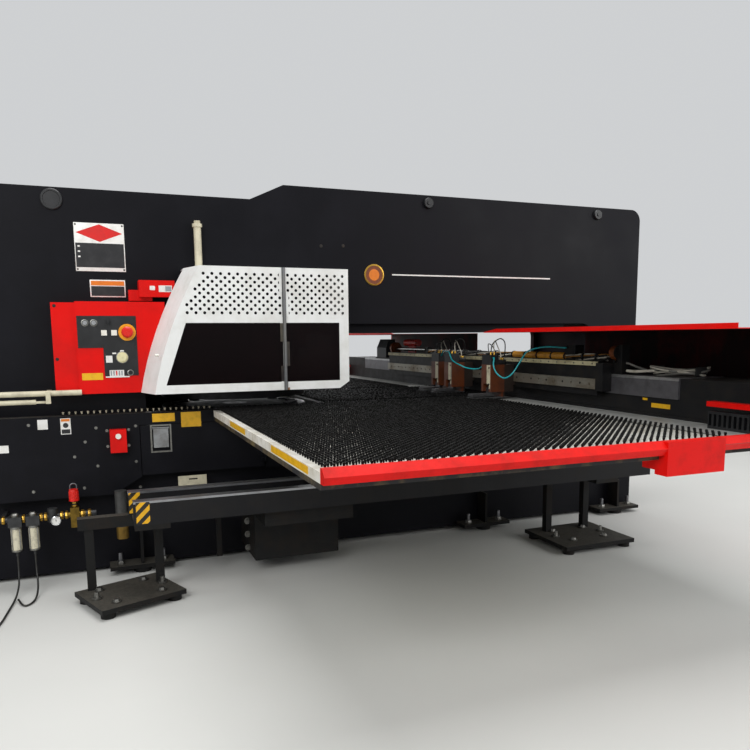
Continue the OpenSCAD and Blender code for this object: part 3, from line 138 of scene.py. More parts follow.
def finish(name, base, dirt="#3c362e", share=0.3, patch=260, rough=(0.35, 0.5), metal=0.0, grain=18,
           bump=0.12, dust=0.0, dust_tint="#8d887c", streak=0.0, stretch=(1, 1, 1), areas=(), stripes=None,
           alpha=1.0, coat=0.0, ior=1.5, shine=0.5):
    """Makes a surface on Object coordinates and keeps it under its name.

    It has a base colour, cloudy dirt whose patches are so many mm wide, fine grain, dust on what faces up,
    and streaks that run down. Each area is a box in mm with a colour, metal and roughness of its own.
    """
    material = bpy.data.materials.new(name)
    material.use_nodes = True
    tree = material.node_tree
    tree.nodes.clear()
    base = linear(base) if isinstance(base, str) else tuple(base) + (1.0,)
    where = add(tree, "ShaderNodeTexCoord").outputs["Object"]
    laid = add(tree, "ShaderNodeMapping", {"Vector": where, "Scale": stretch}).outputs[0]
    cloudy = add(tree, "ShaderNodeTexNoise", {
        "Vector": laid, "Scale": 1 / (patch * MM), "Detail": 7.0, "Roughness": 0.62}).outputs[0]
    fine = add(tree, "ShaderNodeTexNoise", {
        "Vector": laid, "Scale": 1 / (grain * MM), "Detail": 3.0, "Roughness": 0.6}).outputs[0]
    mask = add(tree, "ShaderNodeMapRange", {0: cloudy, 1: 0.46, 2: 0.72, 3: 0.0, 4: share}).outputs[0]
    if stripes:
        near, far, pitch = stripes
        axes = add(tree, "ShaderNodeSeparateXYZ", {0: where}).outputs
        slope = add(tree, "ShaderNodeMath", {0: axes[0], 1: axes[2]}, operation="SUBTRACT").outputs[0]
        turns = add(tree, "ShaderNodeMath", {0: slope, 1: 1 / (pitch * MM)}, operation="MULTIPLY").outputs[0]
        part = add(tree, "ShaderNodeMath", {0: turns}, operation="FRACT").outputs[0]
        pick = add(tree, "ShaderNodeMath", {0: part, 1: 0.5}, operation="GREATER_THAN").outputs[0]
        base = add(tree, "ShaderNodeMix", {
            0: pick, 6: linear(near), 7: linear(far)}, data_type="RGBA").outputs[2]
    paint = add(tree, "ShaderNodeMix", {0: mask, 6: base, 7: linear(dirt)}, data_type="RGBA").outputs[2]
    gloss = add(tree, "ShaderNodeMapRange", {0: cloudy, 1: 0.3, 2: 0.7, 3: rough[0], 4: rough[1]}).outputs[0]
    metallic = metal
    if areas:
        axes = add(tree, "ShaderNodeSeparateXYZ", {0: where}).outputs
        metals = [a[3] for a in areas]
        for lo, hi, tint, area_metal, area_rough in areas:
            here = inside(tree, axes, lo, hi)
            # an area's own colour, dirtied like the rest; some areas hold painted shade or a painted
            # highlight
            area_tint_dirtied = add(tree, "ShaderNodeMix", {
                0: mask, 6: linear(tint), 7: linear(dirt)}, data_type="RGBA").outputs[2]
            paint = add(tree, "ShaderNodeMix", {0: here, 6: paint, 7: area_tint_dirtied}, data_type="RGBA").outputs[2]
            gloss = add(tree, "ShaderNodeMix", {0: here, 2: gloss, 3: area_rough}).outputs[0]
            if any(m != metal for m in metals):
                metallic = add(tree, "ShaderNodeMix", {0: here, 2: metallic, 3: area_metal}).outputs[0]
    if streak:
        drawn = add(tree, "ShaderNodeMapping", {"Vector": where, "Scale": (1, 1, 0.05)}).outputs[0]
        run = add(tree, "ShaderNodeTexNoise", {"Vector": drawn, "Scale": 18.0, "Detail": 4.0}).outputs[0]
        run = add(tree, "ShaderNodeMapRange", {0: run, 1: 0.52, 2: 0.75, 3: 0.0, 4: streak}).outputs[0]
        paint = add(tree, "ShaderNodeMix", {0: run, 6: paint, 7: linear(dirt)}, data_type="RGBA").outputs[2]
    if dust:
        normal = add(tree, "ShaderNodeNewGeometry").outputs["Normal"]
        up = add(tree, "ShaderNodeSeparateXYZ", {0: normal}).outputs[2]
        up = add(tree, "ShaderNodeMapRange", {0: up, 1: 0.5, 2: 0.95, 3: 0.0, 4: dust}).outputs[0]
        up = add(tree, "ShaderNodeMath", {0: up, 1: fine}, operation="MULTIPLY").outputs[0]
        paint = add(tree, "ShaderNodeMix", {
            0: up, 6: paint, 7: linear(dust_tint)}, data_type="RGBA").outputs[2]
    relief = add(tree, "ShaderNodeBump", {"Strength": bump, "Distance": 0.002, "Height": fine}).outputs[0]
    shader = add(tree, "ShaderNodeBsdfPrincipled", {
        "Base Color": paint, "Metallic": metallic, "Roughness": gloss, "Normal": relief, "Alpha": alpha,
        "Coat Weight": coat, "IOR": ior, "Specular IOR Level": shine})
    tree.links.new(shader.outputs[0], add(tree, "ShaderNodeOutputMaterial").inputs[0])
    FINISHES[name] = material


def make_finishes():
    """Every finish of the press. Lengths are millimetres of the real surface."""
    paint = bpy.context.scene.press_colours
    # semi-gloss stoving enamel, near black, with a film of grinding dust and faint hand marks
    finish("black_enamel", paint.frame, dirt="#15151b", share=0.6, patch=420,
           rough=(0.4, 0.58), grain=30, bump=0.05, dust=0.25, streak=0.14, shine=0.13)
    finish("black_cover", paint.frame, dirt="#18181e", share=0.6, patch=240,
           rough=(0.42, 0.62), grain=24, bump=0.05, dust=0.35, streak=0.22, shine=0.14)
    # primed structural steel, dull and dusty
    finish("dark_steel", "#101010", dirt="#33281e", share=0.35, patch=120,
           rough=(0.55, 0.75), grain=12, bump=0.3, dust=0.35, streak=0.1, shine=0.25)
    # rolled steel beams painted black, with a planed steel strip along the top
    finish("beam_enamel", "#121215", dirt="#26231f", share=0.45, patch=150,
           rough=(0.45, 0.65), grain=14, bump=0.15, dust=0.1, streak=0.15, shine=0.25,
           areas=[((None, None, 549), (None, None, None), "#a4a5a8", 0.9, 0.34)])
    # glossy red enamel, darker in cloudy patches where hands and sheets touch
    finish("red_enamel", paint.red, dirt="#8a0c06", share=0.35, patch=300,
           rough=(0.3, 0.45), grain=26, bump=0.04, dust=0.04, streak=0.1, shine=0.22)
    finish("red_bumper", paint.red, dirt="#7a1208", share=0.4, patch=90,
           rough=(0.34, 0.52), grain=20, bump=0.08, dust=0.05, dust_tint="#b9a58f", shine=0.22,
           areas=[((943, None, None), (None, -2674, 918), "#6f6a66", 0.3, 0.5)])
    # the hoods get painted shade, a dull near-black red, underneath and on the wall inside
    finish("hood_enamel_painted_shade", paint.red, dirt="#8a0c06", share=0.35, patch=300,
           rough=(0.3, 0.45), grain=26, bump=0.04, dust=0.04, streak=0.1, shine=0.22, areas=[
               ((1700, -2650, None), (1779, 2650, 1371.3), "#1f0a09", 0.0, 0.6),
               ((985, -2650, 1300), (1779, 2650, 1371.3), "#1f0a09", 0.0, 0.6)])
    # light grey textured powder coat, smudged with oil near the holes and hinge
    finish("grey_powder", paint.guard, dirt="#9b927c", share=0.28, patch=190,
           rough=(0.42, 0.6), grain=9, bump=0.22, dust=0.1, streak=0.1,
           areas=[((-331, None, None), (-309, -719.6, None), "#6f7072", 0.7, 0.45),
                  ((-356, None, 1100), (-331, -719, 1433), "#1a1314", 0.1, 0.45),
                  ((-309, None, 1100), (-284, -719, 1433), "#1a1314", 0.1, 0.45),
                  ((-309, None, 1046), (-297, None, 1064), "#8a5a33", 0.0, 0.6)])
    # cream enamel on pipes
    finish("cream_enamel", "#cfc8ae", dirt="#6d6350", share=0.4, patch=70,
           rough=(0.35, 0.5), grain=14, bump=0.08, dust=0.2)
    # table plates: off-white enamel rubbed through to yellowed primer at the edge
    finish("table_enamel", paint.table, dirt="#8e7c4e", share=0.55, patch=110,
           rough=(0.4, 0.6), grain=16, bump=0.12, dust=0.2,
           areas=[((None, None, None), (None, None, 893), "#131316", 0.0, 0.6)])
    finish("centre_plate", "#161618", dirt="#3a3732", share=0.4, patch=80,
           rough=(0.4, 0.6), grain=10, bump=0.2, shine=0.3)
    # nylon filament, extruded, matt at the cut tips where lint and steel dust gather
    finish("nylon_bristle", "#050506", dirt="#171614", share=0.5, patch=70,
           rough=(0.55, 0.8), grain=4, bump=0.6, dust=0.07, dust_tint="#55524c",
           shine=0.15, areas=[((-1540, -482, 937), (-712, -455, None), "#b3aa95", 0.0, 0.8)])
    # ground tool steel with a wiped oil film
    finish("ground_steel", "#a2a3a5", dirt="#5d564c", share=0.5, patch=60,
           rough=(0.22, 0.42), metal=1.0, grain=8, bump=0.1, stretch=(1, 0.12, 1))
    finish("oiled_steel", "#6e6e70", dirt="#2c2723", share=0.55, patch=90,
           rough=(0.3, 0.5), metal=0.85, grain=10, bump=0.15)
    # clamp rails: ground strips stained brown by old oil
    finish("rail_steel", "#9a968a", dirt="#5a4014", share=0.85, patch=90,
           rough=(0.3, 0.5), metal=0.7, grain=10, bump=0.15, stretch=(1, 0.5, 1), areas=[
               ((None, None, 1170), (None, None, None), "#c3bb96", 0.1, 0.45)])
    # machined grey cast iron
    finish("cast_iron", "#2e2e31", dirt="#171512", share=0.6, patch=70,
           rough=(0.38, 0.58), metal=0.75, grain=6, bump=0.3)
    # moving base of the tables: steel guide with a painted highlight along its top edge, black beam, pale
    # platforms
    finish(
        "carriage_finish", "#0d0d0f", dirt="#29241d", share=0.4, patch=80, rough=(0.42, 0.62), grain=12,
        bump=0.15, dust=0.12, shine=0.3, areas=[
            ((1245, -2112, 1037), (1545, 2112, None), "#77767a", 0.75, 0.36),
            # the 5 mm pale strip on the guide's top edge is a painted highlight
            ((1248, -2112, 1126), (1253, 2112, None), "#c4c4c4", 0.9, 0.3),
            ((1030, None, 933), (1790, -500, 941), "#b9bab6", 0.2, 0.42),
            ((1030, 500, 933), (1790, None, 941), "#b9bab6", 0.2, 0.42)])
    # black machine enamel; the rod is chromed, the end discs copper brown, the cylinder red
    finish(
        "black_machine_paint", "#0d0d0f", dirt="#2a251e", share=0.5, patch=70, rough=(0.4, 0.62), grain=10,
        bump=0.15, dust=0.12, shine=0.3, areas=[
            ((1250, 705, 1224), (1290, 1339.5, 1256), "#d2d2d0", 1.0, 0.25),
            ((1210, 1339.6, 1190), (1330, 1376, None), "#7a3f1b", 0.1, 0.4),
            ((1230, -1664.6, 1216), (1310, -1620, 1294), "#7a3f1b", 0.1, 0.4),
            ((1281, 952, 1172), (1348, 1217, None), "#cf2a22", 0.0, 0.35),
            ((1255, 1594, 1152), (1345, 1832, 1327), "#2f3236", 0.2, 0.45)])
    for i, y in enumerate(CLAMPS, 1):
        # brown hammered enamel, cream marking stripe on the front, black valve box on top
        finish(
            f"clamp_finish_{i}", paint.clamps, dirt="#1e130d", share=0.6, patch=60, rough=(0.32, 0.55),
            grain=9, bump=0.3, areas=[
                ((None, y - 50, 1010), (1021, y - 6, 1163), "#cfc7aa", 0.0, 0.45),
                ((None, y - 200, 1165.5), (1090, y + 200, None), "#17181a", 0.0, 0.5),
                ((1120, y - 200, None), (None, y + 200, None), "#241a15", 0.0, 0.5),
                ((None, y - 200, None), (None, y + 200, 957), "#7d7d7f", 0.9, 0.35)])
    # smoked acrylic sheet, glossy, nearly opaque, faintly red
    finish("smoked_acrylic", "#0b0506", dirt="#150a0b", share=0.5, patch=300,
           rough=(0.12, 0.22), grain=60, bump=0.01, alpha=0.96, ior=1.49, shine=0.1)
    # injection-moulded plastics
    finish("black_moulded", "#111214", dirt="#26262a", share=0.4, patch=60,
           rough=(0.35, 0.5), grain=5, bump=0.12)
    finish("black_rubber", "#0d0d0e", dirt="#2a2723", share=0.4, patch=30,
           rough=(0.6, 0.8), grain=4, bump=0.2)
    finish("white_moulded", "#ebe8dd", dirt="#a79d83", share=0.3, patch=30,
           rough=(0.25, 0.4), grain=6, bump=0.05)
    finish("yellow_moulded", "#f2a51a", dirt="#8a5a12", share=0.3, patch=30,
           rough=(0.25, 0.4), grain=6, bump=0.05)
    finish("red_moulded", "#dc2318", dirt="#7e120c", share=0.3, patch=30,
           rough=(0.2, 0.34), grain=6, bump=0.04)
    finish("red_cap", "#dc2318", dirt="#7e120c", share=0.3, patch=30, rough=(0.25, 0.4), grain=6,
           bump=0.04, areas=[((None, None, 540.5), (None, None, None), "#6d6f72", 0.7, 0.4)])
    finish("cream_moulded", "#e6dfb4", dirt="#8f8358", share=0.35, patch=25,
           rough=(0.3, 0.45), grain=6, bump=0.05)
    # bright parts
    finish("chrome_plate", "#c9cacb", dirt="#6b675f", share=0.3, patch=20,
           rough=(0.12, 0.25), metal=1.0, grain=5, bump=0.03)
    finish("zinc_screw", "#8e8d88", dirt="#3a342c", share=0.5, patch=18,
           rough=(0.3, 0.5), metal=1.0, grain=4, bump=0.1)
    finish("black_screw", "#2c2b2a", dirt="#5a4a38", share=0.4, patch=15,
           rough=(0.4, 0.55), metal=0.6, grain=4, bump=0.1)
    finish("brass", "#b68f3e", dirt="#4d3817", share=0.5, patch=22,
           rough=(0.25, 0.45), metal=1.0, grain=5, bump=0.08)
    finish("copper_brown", "#7a3d1c", dirt="#2f170b", share=0.5, patch=35,
           rough=(0.35, 0.55), grain=6, bump=0.15)
    # die-cast and clear parts of the air unit: black heads, milky bowls, brass valve, grey canister
    finish(
        "air_castings", "#3a3b3c", dirt="#14120f", share=0.5, patch=30, rough=(0.35, 0.55), metal=0.5,
        grain=6, bump=0.15, areas=[
            ((-1825, None, 225), (-1660, None, 352), "#d6cfb6", 0.0, 0.3),
            ((-1530, None, None), (-1440, None, 452), "#7c6329", 0.9, 0.4),
            ((-1300, None, 300), (-1200, None, 506), "#4b4b4a", 0.3, 0.45),
            ((-1300, None, None), (-1200, None, 300), "#8a6d33", 0.8, 0.45)])
    # jackets of leads and hoses
    for name, base, dirt, share, rough, bump in (
            ("cable_orange", "#d09227", "#6a4412", 0.45, (0.4, 0.55), 0.08),
            ("cable_black", "#141414", "#3c3833", 0.4, (0.45, 0.6), 0.08),
            ("cable_white", "#cfcabb", "#6d6556", 0.45, (0.35, 0.5), 0.08),
            ("cable_grey", "#77756f", "#3a3732", 0.45, (0.4, 0.55), 0.08),
            ("cable_brown", "#9a6a2c", "#3c2812", 0.45, (0.4, 0.55), 0.08),
            ("air_line_teal", "#1fa5ad", "#0e4a50", 0.35, (0.25, 0.4), 0.03),
            ("drain_hose", "#1a1a19", "#4a463d", 0.4, (0.4, 0.6), 0.1)):
        finish(name, base, dirt=dirt, share=share, patch=40, rough=rough, grain=8, bump=bump)
    # printed films and anodised plates
    for name, base, dirt, share, rough, metal in (
            ("film_white", "#e9e8e4", "#a39a86", 0.35, (0.3, 0.45), 0.0),
            ("film_yellow", "#e9b216", "#8c6a14", 0.4, (0.3, 0.45), 0.0),
            ("film_orange", "#e07a1c", "#8a4a14", 0.3, (0.3, 0.45), 0.0),
            ("film_red", "#d41f1a", "#7a1410", 0.25, (0.3, 0.45), 0.0),
            ("film_black", "#17171a", "#3a3a3c", 0.3, (0.35, 0.5), 0.0),
            ("film_grey", "#9aa0a4", "#54585a", 0.4, (0.3, 0.45), 0.3)):
        finish(name, base, dirt=dirt, share=share, patch=45, rough=rough, metal=metal, grain=10, bump=0.02)
    # vinyl marking tape, yellow and black bars leaning to the right, 56 mm from bar to bar
    finish("hazard_tape", "#eeb211", dirt="#5a4716", share=0.35, patch=50, rough=(0.35, 0.5),
           grain=12, bump=0.04, stripes=("#eeb211", "#121212", 56))


NODE_FINISH = {
    "black_enamel": ["bridge_frame"],
    "black_cover": ["lower_covers", "service_door"],
    "dark_steel": ["levelling_feet", "beam_stands", "screw_bearings", "ram_housing"],
    "beam_enamel": ["guide_beams"],
    "red_enamel": ["operator_panel", "indicator_box", "switch_box"],
    "hood_enamel_painted_shade": ["front_hood", "rear_hood"],
    "red_bumper": ["front_bumper", "rear_bumper"],
    "grey_powder": ["turret_guard", "guard_door", "rear_guard"],
    "cream_enamel": ["vent_pole", "left_pipes"],
    "table_enamel": ["front_table", "rear_table"],
    "centre_plate": ["centre_table"],
    "nylon_bristle": ["centre_brushes", "front_brushes", "rear_brushes"],
    "ground_steel": ["turret_shafts", "ram", "drive_screw", "table_rollers", "paddle_handle"],
    "rail_steel": ["clamp_rails"],
    "cast_iron": ["upper_turret", "lower_turret"],
    "carriage_finish": ["carriage_base"],
    "black_machine_paint": ["cross_carriage"],
    "oiled_steel": ["clamp_jaw_1", "clamp_jaw_2", "clamp_jaw_3"],
    "clamp_finish_1": ["clamp_body_1"],
    "clamp_finish_2": ["clamp_body_2"],
    "clamp_finish_3": ["clamp_body_3"],
    "smoked_acrylic": ["fixed_window", "door_window"],
    "black_moulded": ["panel_plate", "selector_switch", "cable_chain"],
    "white_moulded": ["push_button_left", "push_button_right", "switch_button"],
    "yellow_moulded": ["estop_collar"],
    "red_moulded": ["estop_button"],
    "red_cap": ["lockout_valve"],
    "cream_moulded": ["override_knob"],
    "air_castings": ["air_unit"],
    "drain_hose": ["drain_hose_left", "drain_hose_right"],
    "cable_orange": ["carriage_hoses"],
    "chrome_plate": ["key_switch_left", "key_switch_right"],
}


# ---------------------------------------------------------------- shapes, all in millimetres


def facing(direction):
    """The turn that takes +Z to a direction."""
    return Vector((0, 0, 1)).rotation_difference(Vector(direction)).to_matrix().to_4x4()


def block(bm, lo, hi, soft=0.0, mark=0):
    """A block between two corners, its edges rounded by soft."""
    known = set(bm.faces)
    centre = (Vector(lo) + Vector(hi)) / 2
    size = Vector(hi) - Vector(lo)
    place = Matrix.Translation(centre) @ Matrix.Diagonal((*size, 1))
    made = bmesh.ops.create_cube(bm, size=1, matrix=place)
    if soft:
        edges = list({e for v in made["verts"] for e in v.link_edges})
        bmesh.ops.bevel(
            bm, geom=edges, offset=min(soft, min(size) * 0.45), segments=2, profile=0.5, affect="EDGES")
    for face in set(bm.faces) - known:
        face.material_index = mark


def turned(bm, profile, at, direction=(0, 0, 1), steps=24, mark=0):
    """A turned shape: pairs of radius and height along the direction, from at."""
    place = Matrix.Translation(Vector(at)) @ facing(direction)
    rings = []
    for radius, height in profile:
        if radius <= 0:
            rings.append([bm.verts.new(place @ Vector((0, 0, height)))])
            continue
        rings.append([bm.verts.new(place @ Vector((
            radius * math.cos(math.tau * i / steps), radius * math.sin(math.tau * i / steps), height)))
            for i in range(steps)])
    for a, b in zip(rings, rings[1:]):
        for i in range(steps):
            j = (i + 1) % steps
            loop = list(dict.fromkeys((a[i % len(a)], a[j % len(a)], b[j % len(b)], b[i % len(b)])))
            if len(loop) > 2:
                bm.faces.new(loop).material_index = mark


def disc(radius, thick, soft=1.0):
    """Profile of a round plate with a softened rim."""
    soft = min(soft, thick * 0.5, radius * 0.4)
    return [(0, 0), (radius, 0), (radius, thick - soft), (radius - soft, thick), (0, thick)]


def prism(bm, outline, y0, y1, mark=0):
    """An outline in X and Z drawn out from y0 to y1."""
    near = [bm.verts.new((x, y0, z)) for x, z in outline]
    far = [bm.verts.new((x, y1, z)) for x, z in outline]
    faces = [bm.faces.new(near), bm.faces.new(far[::-1])]
    for i in range(len(outline)):
        j = (i + 1) % len(outline)
        faces.append(bm.faces.new((near[i], far[i], far[j], near[j])))
    for face in faces:
        face.material_index = mark


def framing(bm, x0, z0, x1, z1, wide, y0, y1, mark=0):
    """A flat frame of four bars around an opening."""
    for left, right, low, high in ((x0, x1, z0, z0 + wide), (x0, x1, z1 - wide, z1),
                                   (x0, x0 + wide, z0 + wide, z1 - wide),
                                   (x1 - wide, x1, z0 + wide, z1 - wide)):
        block(bm, (left, y0, low), (right, y1, high), 0, mark)


def settle(name, mesh, body, slot, *finishes):
    """A finished mesh in metres as a piece that rides on a body."""
    piece = bpy.data.objects.new(name, mesh)
    bpy.context.scene.collection.objects.link(piece)
    if not mesh.materials:
        for key in finishes:
            mesh.materials.append(FINISHES[key])
    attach(piece, body)
    return piece


def piece(name, bm, body, slot, *finishes, angle=35):
    """Turns a drawing in millimetres into a piece."""
    bmesh.ops.recalc_face_normals(bm, faces=bm.faces)
    bmesh.ops.scale(bm, vec=(MM, MM, MM), verts=bm.verts)
    mesh = bpy.data.meshes.new(name)
    bm.to_mesh(mesh)
    bm.free()
    mesh.polygons.foreach_set("use_smooth", [True] * len(mesh.polygons))
    mesh.set_sharp_from_angle(angle=math.radians(angle))
    return settle(name, mesh, body, slot, *finishes)


def curve_of(name, points, diameter, sides=3):
    """A round curve through points in millimetres."""
    line = bpy.data.curves.new(name, "CURVE")
    line.dimensions = "3D"
    line.bevel_depth = diameter * MM / 2
    line.bevel_resolution = sides
    line.use_fill_caps = True
    spline = line.splines.new("POLY")
    spline.points.add(len(points) - 1)
    for dot, p in zip(spline.points, points):
        dot.co = (p[0] * MM, p[1] * MM, p[2] * MM, 1)
    spline.use_smooth = True
    return line


def smooth_path(points, parts=6):
    """The same points joined by a smooth curve."""
    dots = [Vector(p) for p in points]
    path = []
    for i in range(len(dots) - 1):
        a, b, c, d = dots[max(i - 1, 0)], dots[i], dots[i + 1], dots[min(i + 2, len(dots) - 1)]
        for j in range(parts):
            t = j / parts
            path.append(0.5 * (2 * b + (c - a) * t + (2 * a - 5 * b + 4 * c - d) * t * t
                               + (3 * b - a - 3 * c + d) * t ** 3))
    path.append(dots[-1])
    return path


def tubes(name, paths, diameters, body, slot, *finishes):
    """Round lines as one mesh piece; the n-th line has the n-th finish, or the last."""
    parts = bmesh.new()
    for i, (path, diameter) in enumerate(zip(paths, diameters)):
        holder = bpy.data.objects.new("line", curve_of("line", path, diameter))
        bpy.context.scene.collection.objects.link(holder)
        mesh = bpy.data.meshes.new_from_object(holder.evaluated_get(bpy.context.evaluated_depsgraph_get()))
        known = len(parts.faces)
        parts.from_mesh(mesh)
        parts.faces.ensure_lookup_table()
        for face in parts.faces[known:]:
            face.material_index = min(i, len(finishes) - 1)
        bpy.data.objects.remove(holder)
        bpy.data.meshes.remove(mesh)
    bmesh.ops.remove_doubles(parts, verts=parts.verts, dist=1e-6)
    bmesh.ops.recalc_face_normals(parts, faces=parts.faces)
    mesh = bpy.data.meshes.new(name)
    parts.to_mesh(mesh)
    parts.free()
    mesh.polygons.foreach_set("use_smooth", [True] * len(mesh.polygons))
    mesh.set_sharp_from_angle(angle=math.radians(40))
    return settle(name, mesh, body, slot, *finishes)


# ---------------------------------------------------------------- geometry node trees


def tree_with(name, inputs):
    """An empty geometry tree with named inputs, and its input and output nodes."""
    tree = bpy.data.node_groups.new(name, "GeometryNodeTree")
    tree.interface.new_socket(name="Geometry", in_out="INPUT", socket_type="NodeSocketGeometry")
    for label, kind, value in inputs:
        made = tree.interface.new_socket(name=label, in_out="INPUT", socket_type=kind)
        if value is not None:
            made.default_value = value
    tree.interface.new_socket(name="Geometry", in_out="OUTPUT", socket_type="NodeSocketGeometry")
    return tree, add(tree, "NodeGroupInput").outputs, add(tree, "NodeGroupOutput")


def tuft_tree():
    """Tufts on the given points, fanned out to the top, each turned, leaned and frayed a little."""
    tree, given, end = tree_with("tufts_on_points", [
        ("Top radius", "NodeSocketFloat", 0.01), ("Foot radius", "NodeSocketFloat", 0.0035),
        ("Height", "NodeSocketFloat", TUFT * MM), ("Fray", "NodeSocketFloat", 0.0018),
        ("Seed", "NodeSocketInt", 4), ("Material", "NodeSocketMaterial", None)])
    tuft = add(tree, "GeometryNodeMeshCone", {
        "Vertices": 6, "Radius Top": given["Top radius"], "Radius Bottom": given["Foot radius"],
        "Depth": given["Height"]}, fill_type="NGON").outputs["Mesh"]
    turn = add(tree, "FunctionNodeRandomValue", {
        0: (-0.04, -0.04, 0.0), 1: (0.04, 0.04, 6.28), "Seed": given["Seed"]},
        data_type="FLOAT_VECTOR").outputs[0]
    size = add(tree, "FunctionNodeRandomValue", {
        0: (0.85, 0.85, 0.97), 1: (1.08, 1.12, 1.0), "Seed": given["Seed"]},
        data_type="FLOAT_VECTOR").outputs[0]
    laid = add(tree, "GeometryNodeInstanceOnPoints", {
        "Points": given["Geometry"], "Instance": tuft, "Rotation": turn, "Scale": size}).outputs[0]
    real = add(tree, "GeometryNodeRealizeInstances", {0: laid}).outputs[0]
    # only the top 6 mm fray, always downwards, so the tips stay at the sheet's height
    spot = add(tree, "GeometryNodeInputPosition").outputs[0]
    height = add(tree, "ShaderNodeSeparateXYZ", {0: spot}).outputs[2]
    crown = add(tree, "FunctionNodeCompare", {
        0: height, 1: (SHEET - 6) * MM}, operation="GREATER_THAN").outputs[0]
    down = add(tree, "ShaderNodeMath", {0: given["Fray"], 1: -1.0}, operation="MULTIPLY").outputs[0]
    drop = add(tree, "FunctionNodeRandomValue", {2: down, 3: 0.0, "Seed": given["Seed"]}).outputs[1]
    shift = add(tree, "ShaderNodeCombineXYZ", {2: drop}).outputs[0]
    frayed = add(tree, "GeometryNodeSetPosition", {0: real, "Selection": crown, "Offset": shift}).outputs[0]
    done = add(tree, "GeometryNodeSetMaterial", {0: frayed, "Material": given["Material"]}).outputs[0]
    tree.links.new(done, end.inputs[0])
    return tree


def fastener_tree():
    """Screw or bolt heads on the given points: a washer, a head with so many sides and a smaller end."""
    tree, given, end = tree_with("fasteners_on_points", [
        ("Head radius", "NodeSocketFloat", 0.007), ("Head height", "NodeSocketFloat", 0.004),
        ("Sides", "NodeSocketInt", 6), ("Washer", "NodeSocketFloat", 1.3),
        ("Facing", "NodeSocketVector", (0, 0, 0)), ("Material", "NodeSocketMaterial", None)])
    thin = add(tree, "ShaderNodeMath", {0: given["Head height"], 1: 0.25}, operation="MULTIPLY").outputs[0]
    wide = add(tree, "ShaderNodeMath", {
        0: given["Head radius"], 1: given["Washer"]}, operation="MULTIPLY").outputs[0]
    small = add(tree, "ShaderNodeMath", {0: given["Head radius"], 1: 0.8}, operation="MULTIPLY").outputs[0]
    washer = add(tree, "GeometryNodeMeshCylinder", {
        "Vertices": 16, "Radius": wide, "Depth": thin}).outputs["Mesh"]
    head = add(tree, "GeometryNodeMeshCone", {
        "Vertices": given["Sides"], "Radius Top": small, "Radius Bottom": given["Head radius"],
        "Depth": given["Head height"]}).outputs["Mesh"]
    lift = add(tree, "ShaderNodeMath", {0: thin, 1: 0.5}, operation="MULTIPLY").outputs[0]
    lift = add(tree, "ShaderNodeCombineXYZ", {2: lift}).outputs[0]
    washer = add(tree, "GeometryNodeTransform", {0: washer, "Translation": lift}).outputs[0]
    both = add(tree, "GeometryNodeJoinGeometry")
    tree.links.new(washer, both.inputs[0])
    tree.links.new(head, both.inputs[0])
    laid = add(tree, "GeometryNodeInstanceOnPoints", {
        "Points": given["Geometry"], "Instance": both.outputs[0], "Rotation": given["Facing"]}).outputs[0]
    real = add(tree, "GeometryNodeRealizeInstances", {0: laid}).outputs[0]
    done = add(tree, "GeometryNodeSetMaterial", {0: real, "Material": given["Material"]}).outputs[0]
    tree.links.new(done, end.inputs[0])
    return tree


TREES = {}


def grown(name, points, tree, values, body, slot, key):
    """Runs a tree on points in millimetres and keeps what it makes as a plain mesh."""
    seed = bpy.data.meshes.new(name + "_points")
    seed.from_pydata([tuple(c * MM for c in p) for p in points], [], [])
    holder = bpy.data.objects.new(name + "_points", seed)
    bpy.context.scene.collection.objects.link(holder)
    step = holder.modifiers.new("grow", "NODES")
    step.node_group = tree
    for item in tree.interface.items_tree:
        if item.in_out == "INPUT" and item.name in values:
            step[item.identifier] = values[item.name]
        elif item.in_out == "INPUT" and item.name == "Material":
            step[item.identifier] = FINISHES[key]
    mesh = bpy.data.meshes.new_from_object(holder.evaluated_get(bpy.context.evaluated_depsgraph_get()))
    mesh.name = name
    holder.modifiers.remove(step)
    bpy.data.objects.remove(holder)
    bpy.data.meshes.remove(seed)
    mesh.polygons.foreach_set("use_smooth", [False] * len(mesh.polygons))
    return settle(name, mesh, body, slot, key)


TURNS = {"-y": (math.pi / 2, 0, 0), "y": (-math.pi / 2, 0, 0), "-x": (0, -math.pi / 2, 0),
         "x": (0, math.pi / 2, 0), "z": (0, 0, 0), "-z": (math.pi, 0, 0)}


def fasteners(name, points, way, body, slot, key, head=14, high=5, sides=6, washer=1.3):
    """Like heads on points, facing one way; the washer is so many times as wide as the head."""
    return grown(name, points, TREES["fasteners"], {
        "Head radius": head / 2 * MM, "Head height": high * MM, "Sides": sides, "Washer": washer,
        "Facing": TURNS[way]}, body, slot, key)


# ---------------------------------------------------------------- operators


class Step:
    """What every step of the build shares."""
    bl_options = {"REGISTER", "UNDO"}


